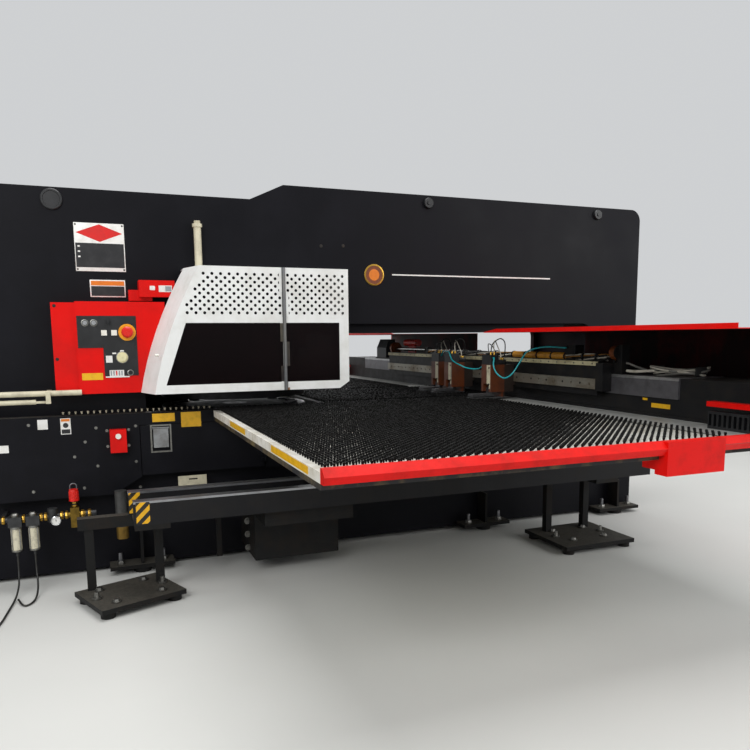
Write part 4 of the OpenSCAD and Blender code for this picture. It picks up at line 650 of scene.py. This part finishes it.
class PRESS_OT_stage(Step, bpy.types.Operator):
    """Floor, world, lamps and camera"""
    bl_idname = "press.stage"
    bl_label = "Stage"

    def execute(self, context):
        scene = context.scene
        scene.view_settings.view_transform = "Standard"
        floor = bpy.data.meshes.new("floor")
        reach = 40
        corners = [(-reach, -reach, 0), (reach, -reach, 0), (reach, reach, 0), (-reach, reach, 0)]
        floor.from_pydata(corners, [], [(0, 1, 2, 3)])
        ground = bpy.data.objects.new("floor", floor)
        scene.collection.objects.link(ground)
        pale = bpy.data.materials.new("pale_floor")
        pale.use_nodes = True
        tree = pale.node_tree
        tree.nodes.clear()
        where = add(tree, "ShaderNodeTexCoord").outputs["Object"]
        noise = add(tree, "ShaderNodeTexNoise", {"Vector": where, "Scale": 0.8, "Detail": 5.0}).outputs[0]
        tone = add(tree, "ShaderNodeMix", {
            0: noise, 6: linear("#c9cac6"), 7: linear("#d8d8d4")}, data_type="RGBA").outputs[2]
        shader = add(tree, "ShaderNodeBsdfPrincipled", {"Base Color": tone, "Roughness": 0.65})
        tree.links.new(shader.outputs[0], add(tree, "ShaderNodeOutputMaterial").inputs[0])
        floor.materials.append(pale)

        world = bpy.data.worlds.new("studio")
        scene.world = world
        world.use_nodes = True
        tree = world.node_tree
        tree.nodes.clear()
        # a little brighter where the camera, a reflection or the acrylic shows it than where it lights
        path = add(tree, "ShaderNodeLightPath").outputs
        seen = add(tree, "ShaderNodeMath", {
            0: path["Is Camera Ray"], 1: path["Is Glossy Ray"]}, operation="MAXIMUM").outputs[0]
        seen = add(tree, "ShaderNodeMath", {
            0: seen, 1: path["Is Transmission Ray"]}, operation="MAXIMUM").outputs[0]
        strength = add(tree, "ShaderNodeMapRange", {0: seen, 3: 0.42, 4: 0.8}).outputs[0]
        sky = add(tree, "ShaderNodeBackground", {"Color": linear("#e4e6e8"), "Strength": strength})
        tree.links.new(sky.outputs[0], add(tree, "ShaderNodeOutputWorld").inputs[0])

        for name, place, aim, wide, power in (
                ("key", (-5.0, -7.0, 5.5), (0, 0, 1.0), 4.5, 400),
                ("fill", (6.5, -6.0, 4.0), (0.5, 0, 1.0), 4.5, 220),
                ("top", (0.5, -0.5, 7.5), (0.5, 0, 0), 6.0, 410),
                ("back", (1.0, 8.0, 5.0), (0, 0, 1.0), 5.0, 240)):
            lamp = bpy.data.lights.new(name, "AREA")
            lamp.shape = "SQUARE"
            lamp.size = wide
            lamp.energy = power
            holder = bpy.data.objects.new(name, lamp)
            holder.matrix_world = Matrix.Translation(place) @ (
                Vector(aim) - Vector(place)).to_track_quat("-Z", "Y").to_matrix().to_4x4()
            scene.collection.objects.link(holder)

        # the photographer stood left of the middle, 4.7 m off, and looked a little to the right and down
        lens = bpy.data.cameras.new("camera")
        # a focal length of 706 pixels in a frame of 750, whose middle lies 433.4 pixels down
        lens.sensor_width = 36
        lens.lens = 706 / 750 * lens.sensor_width
        lens.shift_y = (433.4 - 375) / 750
        lens.clip_end = 200
        camera = bpy.data.objects.new("camera", lens)
        yaw, pitch, roll = (math.radians(a) for a in (21.58, 7.78, 0.52))
        ahead = Vector((math.sin(yaw) * math.cos(pitch), math.cos(yaw) * math.cos(pitch), -math.sin(pitch)))
        right = Vector((math.cos(yaw), -math.sin(yaw), 0))
        down = ahead.cross(right)
        level = right * math.cos(roll) + down * math.sin(roll)
        drop = down * math.cos(roll) - right * math.sin(roll)
        turn = Matrix((level, -drop, -ahead)).transposed().to_4x4()
        camera.matrix_world = Matrix.Translation((-1.35, -4.72, 1.35)) @ turn
        scene.collection.objects.link(camera)
        scene.camera = camera
        return {"FINISHED"}


class PRESS_OT_drain_hoses(Step, bpy.types.Operator):
    """Two drain hoses of the air unit, lying on the floor"""
    bl_idname = "press.drain_hoses"
    bl_label = "Drain hoses"

    def execute(self, context):
        wide = context.scene.press_sizes.hose / MM
        for side, route in (
                ("left", [(-1790, -590, 199.7), (-1790, -592, 150), (-1790, -606, 100), (-1790, -650, 54),
                          (-1796, -720, 24), (-1806, -790, 10), (-1821, -925, 7), (-1834, -1042, 7),
                          (-1856, -1150, 7)]),
                ("right", [(-1704, -590, 199.7), (-1704, -592, 150), (-1702, -606, 100), (-1698, -645, 50),
                           (-1698, -700, 22), (-1704, -770, 10), (-1720, -826, 7), (-1742, -850, 7),
                           (-1762, -830, 8), (-1785, -762, 14)])):
            path = smooth_path(route, 4)
            hose = bpy.data.objects.new(f"hose_{side}", curve_of(f"hose_{side}", path, wide))
            context.scene.collection.objects.link(hose)
            hose.data.materials.append(FINISHES["drain_hose"])
            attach(hose, "frame")
            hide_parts(f"drain_hose_{side}")
        return {"FINISHED"}


class PRESS_OT_node_finishes(Step, bpy.types.Operator):
    """The finish of every solid that is shown as it is"""
    bl_idname = "press.node_finishes"
    bl_label = "Finishes of the solids"

    def execute(self, context):
        for key, names in NODE_FINISH.items():
            for name in names:
                mesh = frame["nodes"][name].data
                mesh.materials.clear()
                mesh.materials.append(FINISHES[key])
        return {"FINISHED"}


class PRESS_OT_brushes(Step, bpy.types.Operator):
    """Nylon tufts of the tables, one field for each body"""
    bl_idname = "press.brushes"
    bl_label = "Brush fields"

    def execute(self, context):
        sizes = context.scene.press_sizes
        px, py = sizes.tuft_pitch_x / MM, sizes.tuft_pitch_y / MM

        def field(x0, x1, y0, y1):
            """Middles of a field's tufts, every other row half a pitch over, all 5 mm or more inside."""
            first, side, ends = x0 + 5.5, 5, 20
            across = int((x1 - first - 3.5) // px) + 1
            along = int((y1 - y0 - ends) // py) + 1
            edge = (y1 - y0 - (along - 1) * py) / 2
            spots = [(first + (i + j % 2 / 2) * px, y0 + edge + j * py, SHEET - TUFT / 2)
                     for i in range(across) for j in range(along)]
            return [spot for spot in spots if spot[0] < x1 - side]

        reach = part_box("centre_brushes")[1].y / MM
        fields = {
            "front": ("carriage", field(-694, 1030, -2626, -520)),
            "rear": ("carriage", field(-694, 1030, 520, 2626)),
            "centre": ("frame", field(-3, 1750, -reach, reach) + field(-1530, -715, -478, -432)),
        }
        for side, (body, points) in fields.items():
            made = grown(f"tufts_{side}", points, TREES["tufts"], {
                "Top radius": sizes.tuft_top / 2, "Foot radius": sizes.tuft_foot / 2,
                "Height": TUFT * MM, "Fray": 1.8 * MM, "Seed": 4}, body, "bristle", "nylon_bristle")
            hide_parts(f"{side}_brushes")
        return {"FINISHED"}


class PRESS_OT_frame_trim(Step, bpy.types.Operator):
    """Port cap, lifting covers, rear plates, labels, pinstripe and badge of the bridge frame"""
    bl_idname = "press.frame_trim"
    bl_label = "Frame trim"

    def execute(self, context):
        bm = bmesh.new()
        cap = [(0, 0), (56, 0), (56, 8), (52, 12), (44, 12), (42, 9), (0, 9)]
        turned(bm, cap, (-1513, FRAME_FRONT, 2105), FORWARD, 40)
        cover = [(0, 0), (34, 0), (34, 14), (30, 20)]
        for x, z in ((747, 2214), (2106, 2212)):
            turned(bm, cover + [(12, 20), (12, 26), (0, 26)], (x, FRAME_FRONT, z), FORWARD, 28)
            turned(bm, cover + [(0, 20)], (x, FRAME_REAR, z), BACK, 28)
        piece("frame_covers", bm, "frame", "black_plastic", "black_moulded")

        # each plate of the rear face: left, right, foot and top
        plates = ((-2380, -1300, 860, 1980), (-1180, -380, 1500, 2080), (-260, 900, 1540, 2080),
                  (1020, 1980, 1540, 2080), (-2380, -1500, 200, 690), (-1420, -520, 200, 690),
                  (420, 1200, 200, 690), (1280, 2050, 200, 690))
        bm = bmesh.new()
        spots, rim, head = [], 25, FRAME_REAR + 5.5
        for x0, x1, z0, z1 in plates:
            block(bm, (x0, FRAME_REAR, z0), (x1, FRAME_REAR + 4, z1), 1.5)
            for i in range(4):
                x = x0 + rim + (x1 - x0 - 2 * rim) * i / 3
                spots += [(x, head, z0 + rim), (x, head, z1 - rim)]
            spots += [(x, head, (z0 + z1) / 2) for x in (x0 + rim, x1 - rim)]
        piece("rear_cover_plates", bm, "frame", "black_paint", "black_cover")
        fasteners("rear_cover_screws", spots, "y", "frame", "black_paint", "zinc_screw", 14, 3, 12, 1.2)
        y = FRAME_FRONT
        spots = [(8, y - 1.5, 1914), (153, y - 1.5, 1920)]
        fasteners("frame_screws", spots, "-y", "frame", "black_paint", "black_screw", 18, 3, 12, 1.2)

        bm = bmesh.new()
        block(bm, (-1411, y - 2, 1727), (-1150, y, 1989), 0.8, 0)
        prism(bm, [(-1402, 1936), (-1280, 1983), (-1160, 1936), (-1280, 1888)], y - 2.6, y - 1.6, 1)
        block(bm, (-1407, y - 2.6, 1748), (-1155, y - 1.6, 1880), 0, 2)
        for z in (1858, 1830, 1802):
            block(bm, (-1396, y - 2.9, z), (-1384, y - 2.2, z + 8), 0, 0)
        piece("sign_plate", bm, "frame", "white_plastic", "film_white", "film_red", "film_black")
        fasteners("sign_screws", [(x, y - 2, z) for x in (-1402, -1159) for z in (1737, 1979)], "-y", "frame",
                  "white_plastic", "black_screw", 10, 2, 12, 1.0)

        bm = bmesh.new()
        block(bm, (-1345, y - 1.6, 1586), (-1158, y, 1681), 0.6, 0)
        block(bm, (-1339, y - 2.1, 1650), (-1164, y - 1.2, 1675), 0, 1)
        block(bm, (-1339, y - 2.1, 1592), (-1164, y - 1.2, 1646), 0, 2)
        piece("frame_label", bm, "frame", "white_plastic", "film_white", "film_orange", "film_black")

        bm = bmesh.new()
        block(bm, (488, y - 0.9, 1746), (1713, y + 0.1, 1754), 0)
        piece("pinstripe", bm, "frame", "white_plastic", "film_white")
        bm = bmesh.new()
        middle = (362, y, 1746)
        turned(bm, [(58, 0), (68, 0), (68, 3), (64, 4.5), (58, 4.5), (58, 0)], middle, FORWARD, 40, 0)
        turned(bm, disc(58, 2.5, 0.5), middle, FORWARD, 40, 1)
        turned(bm, disc(36, 3.4, 0.8), middle, FORWARD, 32, 2)
        piece("round_badge", bm, "frame", "yellow_plastic", "brass", "copper_brown", "film_orange")
        return {"FINISHED"}


class PRESS_OT_guard_trim(Step, bpy.types.Operator):
    """Rubber skirt of the rear guard and the small stop at the front one's edge"""
    bl_idname = "press.guard_trim"
    bl_label = "Guard trim"

    def execute(self, context):
        bm = bmesh.new()
        block(bm, (-1050, FRAME_REAR + 1, 801), (-745, FRAME_REAR + 4, 1180), 1)
        piece("rear_skirt", bm, "frame", "black_paint", "black_rubber")
        bm = bmesh.new()
        turned(bm, [(0, 0), (7, 0), (7, 16), (5, 20), (0, 20)], (-1022, -716, 1262), (-1, -0.3, 0), 16)
        piece("guard_stop", bm, "guard_leaf", "white_plastic", "white_moulded")
        return {"FINISHED"}


class PRESS_OT_panel_trim(Step, bpy.types.Operator):
    """Legends, bezels, screws and stickers of the operator panel and indicator box"""
    bl_idname = "press.panel_trim"
    bl_label = "Panel trim"

    def execute(self, context):
        y = PANEL_FRONT
        bm = bmesh.new()
        # around the two push buttons, the selector and the override knob
        for x, z, hole, rim, top, low, high, steps in (
                (-1383, 1440, 14.5, 19, 17, 1.6, 2.4, 28), (-1338, 1440, 14.5, 19, 17, 1.6, 2.4, 28),
                (-1161, 1164, 12, 17, 15, 2, 3, 24), (-1200, 1250, 27, 33, 30, 1.6, 2.6, 32)):
            profile = [(hole, 0), (rim, 0), (rim, low), (top, high), (hole, high), (hole, 0)]
            turned(bm, profile, (x, y, z), FORWARD, steps)
        piece("panel_bezels", bm, "frame", "key_steel", "zinc_screw")
        bm = bmesh.new()
        for x, z, w, h in ((-1269, 1241, 34, 38), (-1233, 1163, 76, 34), (-1241, 1273, 20, 8),
                           (-1200, 1286, 20, 8)):
            block(bm, (x - w / 2, y - 0.9, z - h / 2), (x + w / 2, y + 0.1, z + h / 2), 0, 0)
        block(bm, (-1292, y - 0.9, 1139), (-1167, y + 0.5, 1146), 0, 0)
        for i in range(5):
            x = -1266 + i * 14
            block(bm, (x, y - 1.3, 1150), (x + 7, y - 0.7, 1176), 0, 1 if i == 2 else 2)
        piece("panel_legends", bm, "frame", "white_plastic", "film_white", "film_red", "film_grey")
        bm = bmesh.new()
        block(bm, (-1414, y + 2, 1128), (-1306, y + 3, 1166), 0)
        piece("panel_yellow_label", bm, "frame", "yellow_plastic", "film_yellow")
        spots = [(-1414, y, 1312), (-1300, y, 1312), (-1128, y, 1312), (-1128, y, 1468), (-1414, y, 1468)]
        fasteners("panel_screws", spots, "-y", "frame", "key_steel", "black_screw", 8, 2, 12, 1.1)
        spots = [(-1531, y + 16, 1532), (-1533, y + 16, 1245)]
        fasteners("panel_flange_screws", spots, "-y", "frame", "key_steel", "black_screw", 14, 3, 12, 1.25)
        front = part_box("indicator_box")[0].y / MM
        bm = bmesh.new()
        block(bm, (-1034, front - 0.8, 1622), (-1006, front + 0.1, 1645), 0, 0)
        block(bm, (-986, front - 0.8, 1612), (-914, front + 0.1, 1648), 0, 0)
        block(bm, (-950, front - 1.3, 1616), (-918, front - 0.6, 1644), 0, 1)
        piece("indicator_films", bm, "frame", "white_plastic", "film_white", "film_grey")
        return {"FINISHED"}


class PRESS_OT_cover_trim(Step, bpy.types.Operator):
    """Labels, screws and small plates of the lower covers and service door"""
    bl_idname = "press.cover_trim"
    bl_label = "Cover trim"

    def execute(self, context):
        y = COVER_FRONT
        bm = bmesh.new()
        block(bm, (-1656, y - 0.8, 863), (-1605, y + 0.1, 917), 0, 0)
        block(bm, (-1541, y - 0.8, 830), (-1489, y + 0.1, 919), 0, 0)
        block(bm, (-1537, y - 1.3, 902), (-1493, y - 0.6, 916), 0, 1)
        turned(bm, disc(14, 1.0, 0.3), (-1515, y - 0.6, 880), FORWARD, 20, 2)
        block(bm, (-1537, y - 1.3, 834), (-1493, y - 0.6, 858), 0, 2)
        block(bm, (-1900, y - 0.8, 745), (-1805, y + 0.1, 786), 0, 0)
        piece("cover_labels", bm, "frame", "white_plastic", "film_white", "film_orange", "film_black")
        bm = bmesh.new()
        block(bm, (-1055, y - 0.8, 874), (-929, y + 0.1, 922), 0)
        block(bm, (-894, y - 0.8, 836), (-780, y + 0.1, 924), 0)
        piece("cover_yellow_labels", bm, "frame", "yellow_plastic", "film_yellow")
        bm = bmesh.new()
        block(bm, (-927, y - 4, 476), (-761, y + 0.2, 545), 3, 0)
        block(bm, (-865, y - 5, 520), (-815, y - 3.5, 528), 0, 1)
        piece("cover_cream_plate", bm, "frame", "cream_paint", "cream_enamel", "black_screw")
        # pocket frame of the pull paddle
        bm = bmesh.new()
        framing(bm, -1070, 695, -952, 858, 9, y - 2.4, y - 0.2)
        piece("paddle_frame", bm, "cover_door", "key_steel", "zinc_screw")
        spots = ((-1303, 838), (-1187, 838), (-1303, 748), (-1190, 748), (-1148, 857), (-1360, 857),
                 (-1421, 781), (-1362, 640), (-1155, 651), (-1480, 700), (-1700, 890), (-1700, 520),
                 (-2100, 890), (-2100, 520), (-2460, 890), (-2460, 520), (-1140, 500), (-1440, 520))
        fasteners("cover_screws", [(x, y, z) for x, z in spots], "-y", "frame", "black_paint", "zinc_screw",
                  context.scene.press_sizes.screw_head / MM, 3, 12, 1.2)
        return {"FINISHED"}


class PRESS_OT_air_trim(Step, bpy.types.Operator):
    """Gauge, bowl guards, fittings and lock loop of the air unit"""
    bl_idname = "press.air_trim"
    bl_label = "Air unit trim"

    def execute(self, context):
        bm = bmesh.new()
        for x in (-1790, -1704):
            for z, high, r in ((352, 14, 30), (228, 8, 29)):
                turned(bm, [(26, 0), (r, 0), (r, high), (26, high), (26, 0)], (x, AIR_LINE, z), steps=28)
            for i in range(4):
                a = math.tau * (i + 0.5) / 4
                cx, cy = x + 27.5 * math.cos(a), AIR_LINE + 27.5 * math.sin(a)
                block(bm, (cx - 3, cy - 3, 236), (cx + 3, cy + 3, 352), 1)
            turned(bm, [(0, 0), (20, 0), (20, 12), (14, 20), (0, 20)], (x, AIR_LINE, 414), steps=20)
        piece("bowl_guards", bm, "frame", "air_alloy", "zinc_screw")
        bm = bmesh.new()
        union = [(15, 0), (21, 0), (23, 3), (23, 13), (21, 16), (15, 16), (15, 0)]
        for x in (-1845, -1748, -1662, -1640, -1560, -1535, -1455, -1420):
            turned(bm, union, (x - 8, AIR_LINE, 400), (1, 0, 0), 8)
        for z in (446, 462):
            turned(bm, [(10, 0), (17, 0), (17, 8), (10, 8), (10, 0)], (-1494, AIR_LINE, z), steps=6)
        piece("pipe_fittings", bm, "frame", "key_steel", "brass")
        bm = bmesh.new()
        x, y, z = -1588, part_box("air_unit")[0].y / MM, 384
        turned(bm, disc(21, 1.2, 0.3), (x, y, z), FORWARD, 32, 0)
        rim = [(21, -1), (25.4, -1), (25.4, 2.5), (23, 4), (21, 2.5), (21, -1)]
        turned(bm, rim, (x, y, z), FORWARD, 32, 1)
        for i in range(11):
            a = math.radians(-135 + 27 * i)
            dot = (x + 17 * math.sin(a), y - 0.9, z + 17 * math.cos(a))
            turned(bm, disc(1.1, 0.6, 0.1), dot, FORWARD, 6, 2)
        needle = [(x - 2, z), (x, z + 15), (x + 2, z), (x, z - 4)]
        prism(bm, needle, y - 2.2, y - 1.4, 2)
        piece("gauge_face", bm, "frame", "white_plastic", "film_white", "chrome_plate", "film_black")
        bm = bmesh.new()
        for i in range(16):
            a = math.tau * i / 16
            cx, cy = -1494 + 23 * math.cos(a), AIR_LINE + 23 * math.sin(a)
            turned(bm, [(0, 0), (2.2, 0), (2.2, 40), (0, 42)], (cx, cy, 488), steps=8)
        turned(bm, [(22, 0), (26, 0), (26, 8), (22, 10), (22, 0)], (-1494, AIR_LINE, 476), steps=28)
        piece("lock_cap_grip", bm, "valve", "red_plastic", "red_moulded")
        return {"FINISHED"}


class PRESS_OT_beam_trim(Step, bpy.types.Operator):
    """Marking tape on the guide beams' ends, anchor nuts and levelling screws"""
    bl_idname = "press.beam_trim"
    bl_label = "Beam trim"

    def execute(self, context):
        bm = bmesh.new()
        for side in (-1, 1):
            for x, y, wide in ((-1206, 1150, 70), (-1228, 900, 62)):
                a, b = sorted((side * y, side * (y + 0.8)))
                block(bm, (x + 6, a, 448), (x + wide, b, 556), 0)
        piece("marking_tape", bm, "frame", "yellow_plastic", "hazard_tape")
        spots, jacks = [], []
        for cx, cy, turn in ((-1240, -968, 21), (-1240, 968, -21), (1550, -1010, 0), (1550, 1010, 0)):
            c, s = math.cos(math.radians(turn)), math.sin(math.radians(turn))
            for heads, offsets in ((spots, ((-120, -110), (120, -110), (-120, 110), (120, 110))),
                                   (jacks, ((-175, 0), (175, 0)))):
                heads += [(cx + dx * c - dy * s, cy + dx * s + dy * c, 57) for dx, dy in offsets]
        fasteners("anchor_nuts", spots, "z", "frame", "dark_steel", "zinc_screw", 36, 16, 6, 1.4)
        fasteners("stand_jacks", jacks, "z", "frame", "dark_steel", "zinc_screw", 26, 34, 6, 1.9)
        fasteners("arm_bolts", [(-560, -660, z) for z in (120, 200, 280)], "-y", "frame", "dark_steel",
                  "zinc_screw", 30, 12, 6, 1.3)
        bm = bmesh.new()
        for x in (-2250, -1150, 1150, 2300):
            for side in (-1, 1):
                for dx in (-120, 120):
                    at = (x + dx, side * 470, 52)
                    turned(bm, [(0, 0), (13, 0), (13, 62), (11, 66), (0, 66)], at, steps=16, mark=1)
                    turned(bm, [(13, 0), (24, 0), (24, 16), (22, 19), (13, 19)], at, steps=6)
        piece("frame_levelling_screws", bm, "frame", "dark_steel", "zinc_screw", "oiled_steel")
        return {"FINISHED"}


class PRESS_OT_cables(Step, bpy.types.Operator):
    """Air lines, rope of leads with its conduit and clips, and tied leads of the cross carriage"""
    bl_idname = "press.cables"
    bl_label = "Cables and air lines"

    def execute(self, context):
        # the same routes as in the part's source, each from a clamp's valve box to the rope of leads
        near = [(1034, -765.9, 1209), (1034, -778, 1208.4), (1016, -802, 1163), (1012, -846, 1117),
                (1030, -906, 1088), (1060, -949, 1115), (1110, -959, 1188), (1160, -969, 1254),
                (1200, -1090, 1281), (1230, -1236, 1277), (1249.2, -1236, 1276.4)]
        far = [(1040, -20.9, 1212), (1040, -34, 1212.4), (1030, -72, 1244), (1024, -140, 1241),
               (1017, -190, 1237), (1006, -245, 1194), (1012, -276, 1172), (1030, -331, 1150),
               (1060, -377, 1130), (1085, -487, 1128), (1072, -590, 1166), (1055, -632, 1204.6),
               (1055, -648, 1205)]
        lines = tubes("air_lines", [smooth_path(near, 5), smooth_path(far, 5)], [9, 9], "cross_slide",
                      "hose_mixed", "air_line_teal", "air_line_teal")
        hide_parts("carriage_hoses")
        # sensor leads wound into a loose rope: one turn in 942 mm, each lead bulging in and out by 3 mm
        rope_x, rope_z, y0, run, dots = 1274, 1226, -1570, 2210, 90
        tints = ("cable_black", "cable_white", "cable_black", "cable_grey", "cable_black", "cable_white",
                 "cable_brown")
        paths = []
        for k in range(len(tints)):
            path = []
            for i in range(dots):
                y = y0 + run * i / (dots - 1)
                a = math.tau * k / len(tints) + y / 150
                r = 14 + 3 * math.sin(y / 70 + 2 * k)
                path.append((rope_x + r * math.cos(a), y, rope_z + r * math.sin(a)))
            paths.append(path)
        tubes("lead_rope", paths, [9] * len(tints), "cross_slide", "hose_mixed", *tints)
        # corrugated orange conduit over the rope between two clips
        bm = bmesh.new()
        rings = []
        for y in range(0, 570, 6):
            rings += [(20.5, y), (22.6, y + 1.5), (22.6, y + 3.5), (20.5, y + 5)]
        turned(bm, [(18, 0)] + rings + [(18, 569), (18, 0)], (rope_x, -1215, rope_z), BACK, 14)
        piece("conduit", bm, "cross_slide", "hose_mixed", "cable_orange")
        bm = bmesh.new()
        for y in (-1500, -1380, -1215, -1080, -930, -790, -648, -420, -180, 40, 260, 480, 640):
            turned(bm, [(20, 0), (24.5, 0), (24.5, 14), (20, 14), (20, 0)], (rope_x, y, rope_z), BACK, 20)
            block(bm, (rope_x - 10, y + 2, rope_z - 25), (rope_x + 10, y + 12, rope_z - 20), 1)
        piece("rope_clips", bm, "cross_slide", "bristle", "black_moulded")
        # slack leads tied in five loops beside the near bracket, each a little wider and higher than the last
        paths = []
        for k in range(5):
            path = []
            for i in range(41):
                a = math.tau * i / 40
                path.append((1400 + (74 + 6 * k) * math.cos(a + 0.1 * k),
                             -1960 + (140 + 5 * math.sin(9 * k)) * math.sin(a),
                             1150 + 7 * k + 9 * math.sin(2 * a + k)))
            paths.append(path)
        paths.append([(1290, -1700, 1200), (1300, -1716, 1196), (1322, -1744, 1180), (1356, -1784, 1164),
                      (1388, -1816, 1160)])
        paths.append([(1330, -1880, 1166), (1306, -1830, 1162), (1284, -1770, 1158), (1282, -1716, 1160)])
        tints = ("cable_grey", "cable_white", "cable_grey", "cable_grey", "cable_white", "cable_grey",
                 "cable_white")
        tubes("tied_leads", paths, [11, 11, 10, 11, 10, 12, 16], "cross_slide", "hose_mixed", *tints)
        bm = bmesh.new()
        for y in (-2097, -1823):
            block(bm, (1366, y - 5, 1143), (1434, y + 5, 1190), 3)
        piece("lead_ties", bm, "cross_slide", "bristle", "black_rubber")
        return {"FINISHED"}


class PRESS_OT_carriage_trim(Step, bpy.types.Operator):
    """Bolts and labels of the carriages, and bolts, fittings and lines of the clamps"""
    bl_idname = "press.carriage_trim"
    bl_label = "Carriage trim"

    def execute(self, context):
        fasteners("rail_bolts", [(1194, y, 1194.5) for y in range(-1540, 1340, 80)], "-x", "cross_slide",
                  "machined_steel", "zinc_screw", 9, 3, 12, 1.1)
        fasteners("strip_bolts", [(1189.6, y, 1084) for y in range(-1445, 1340, 160)], "-x", "cross_slide",
                  "machined_steel", "black_screw", 13, 2.5, 6, 1.0)
        bm = bmesh.new()
        block(bm, (1256.6, -2055, 986), (1258.2, -1930, 1008), 0, 0)
        block(bm, (1256.4, -1900, 1018), (1258.2, -1868, 1030), 0, 0)
        piece("base_beam_labels", bm, "carriage", "yellow_plastic", "film_yellow")
        bm = bmesh.new()
        block(bm, (-710.9, -1447, 899), (-709.8, -1057, 926), 0)
        block(bm, (-710.9, -2495, 899), (-709.8, -1970, 926), 0)
        piece("table_edge_labels", bm, "carriage", "yellow_plastic", "film_yellow")
        for i, y in enumerate(CLAMPS, 1):
            spots = [(1020, y - 37, z) for z in (1040, 1145)]
            fasteners(f"clamp_bolts_{i}", spots, "-x", f"clamp_{i}", "brown_paint", "black_screw",
                      12, 4, 6, 1.0)
            bm = bmesh.new()
            for x in (1036, 1060):
                turned(bm, [(0, 0), (8, 0), (8, 8), (6, 12), (6, 20), (0, 20)], (x, y - 30, 1228), steps=14)
            block(bm, (1030, y - 4, 1228), (1066, y + 30, 1240), 2, 1)
            block(bm, (1084, y - 46, 1165), (1140, y + 10, 1196), 3, 1)
            for dy in (-34, -12):
                turned(bm, [(0, 0), (7, 0), (7, 10), (5, 14), (0, 14)], (1120, y + dy, 1196), steps=12)
            piece(f"clamp_fittings_{i}", bm, f"clamp_{i}", "key_steel", "brass", "black_moulded")
            # three lines that rise and swing out from the fittings to the valve box: ends, height, swing
            paths = []
            for a, b, high, out in (((1036, y - 30, 1248), (1120, y - 34, 1210), 84, -52),
                                    ((1060, y - 30, 1248), (1120, y - 12, 1210), 72, 34),
                                    ((1048, y + 14, 1240), (1110, y + 6, 1190), 58, 48)):
                run = b[0] - a[0]
                paths.append(smooth_path([
                    a, (a[0] + 2, a[1] + out * 0.3, a[2] + high * 0.6),
                    (a[0] + run * 0.4, a[1] + out, a[2] + high),
                    (a[0] + run * 0.8, b[1] + out, a[2] + high * 0.7),
                    (b[0] + 6, b[1] + out * 0.3, b[2] + 22), b], 5))
            tints = ("cable_black", "cable_white", "cable_black")
            tubes(f"clamp_lines_{i}", paths, [7, 7, 6], f"clamp_{i}", "hose_mixed", *tints)
        return {"FINISHED"}


STEPS = (PRESS_OT_stage, PRESS_OT_drain_hoses, PRESS_OT_node_finishes, PRESS_OT_brushes, PRESS_OT_frame_trim,
         PRESS_OT_guard_trim, PRESS_OT_panel_trim, PRESS_OT_cover_trim, PRESS_OT_air_trim, PRESS_OT_beam_trim,
         PRESS_OT_cables, PRESS_OT_carriage_trim)


class PRESS_PT_panel(bpy.types.Panel):
    """Lists the steps and what can be changed"""
    bl_idname = "PRESS_PT_panel"
    bl_label = "Punch press"
    bl_space_type = "VIEW_3D"
    bl_region_type = "UI"
    bl_category = "Punch press"

    def draw(self, context):
        for group in (context.scene.press_sizes, context.scene.press_colours):
            for name in group.bl_rna.properties.keys():
                if name not in ("rna_type", "name"):
                    self.layout.prop(group, name)
        for step in STEPS:
            self.layout.operator(step.bl_idname)


CLASSES = (PressSizes, PressColours) + STEPS + (PRESS_PT_panel,)


def register():
    for item in CLASSES:
        bpy.utils.register_class(item)
    bpy.types.Scene.press_sizes = bpy.props.PointerProperty(type=PressSizes)
    bpy.types.Scene.press_colours = bpy.props.PointerProperty(type=PressColours)


def unregister():
    del bpy.types.Scene.press_sizes
    del bpy.types.Scene.press_colours
    for item in reversed(CLASSES):
        bpy.utils.unregister_class(item)


def main():
    """Builds the press from its steps, in order."""
    register()
    make_finishes()
    TREES["tufts"] = tuft_tree()
    TREES["fasteners"] = fastener_tree()
    for step in STEPS:
        group, name = step.bl_idname.split(".")
        getattr(getattr(bpy.ops, group), name)()
    bpy.context.view_layer.update()


if __name__ == "__main__":
    main()
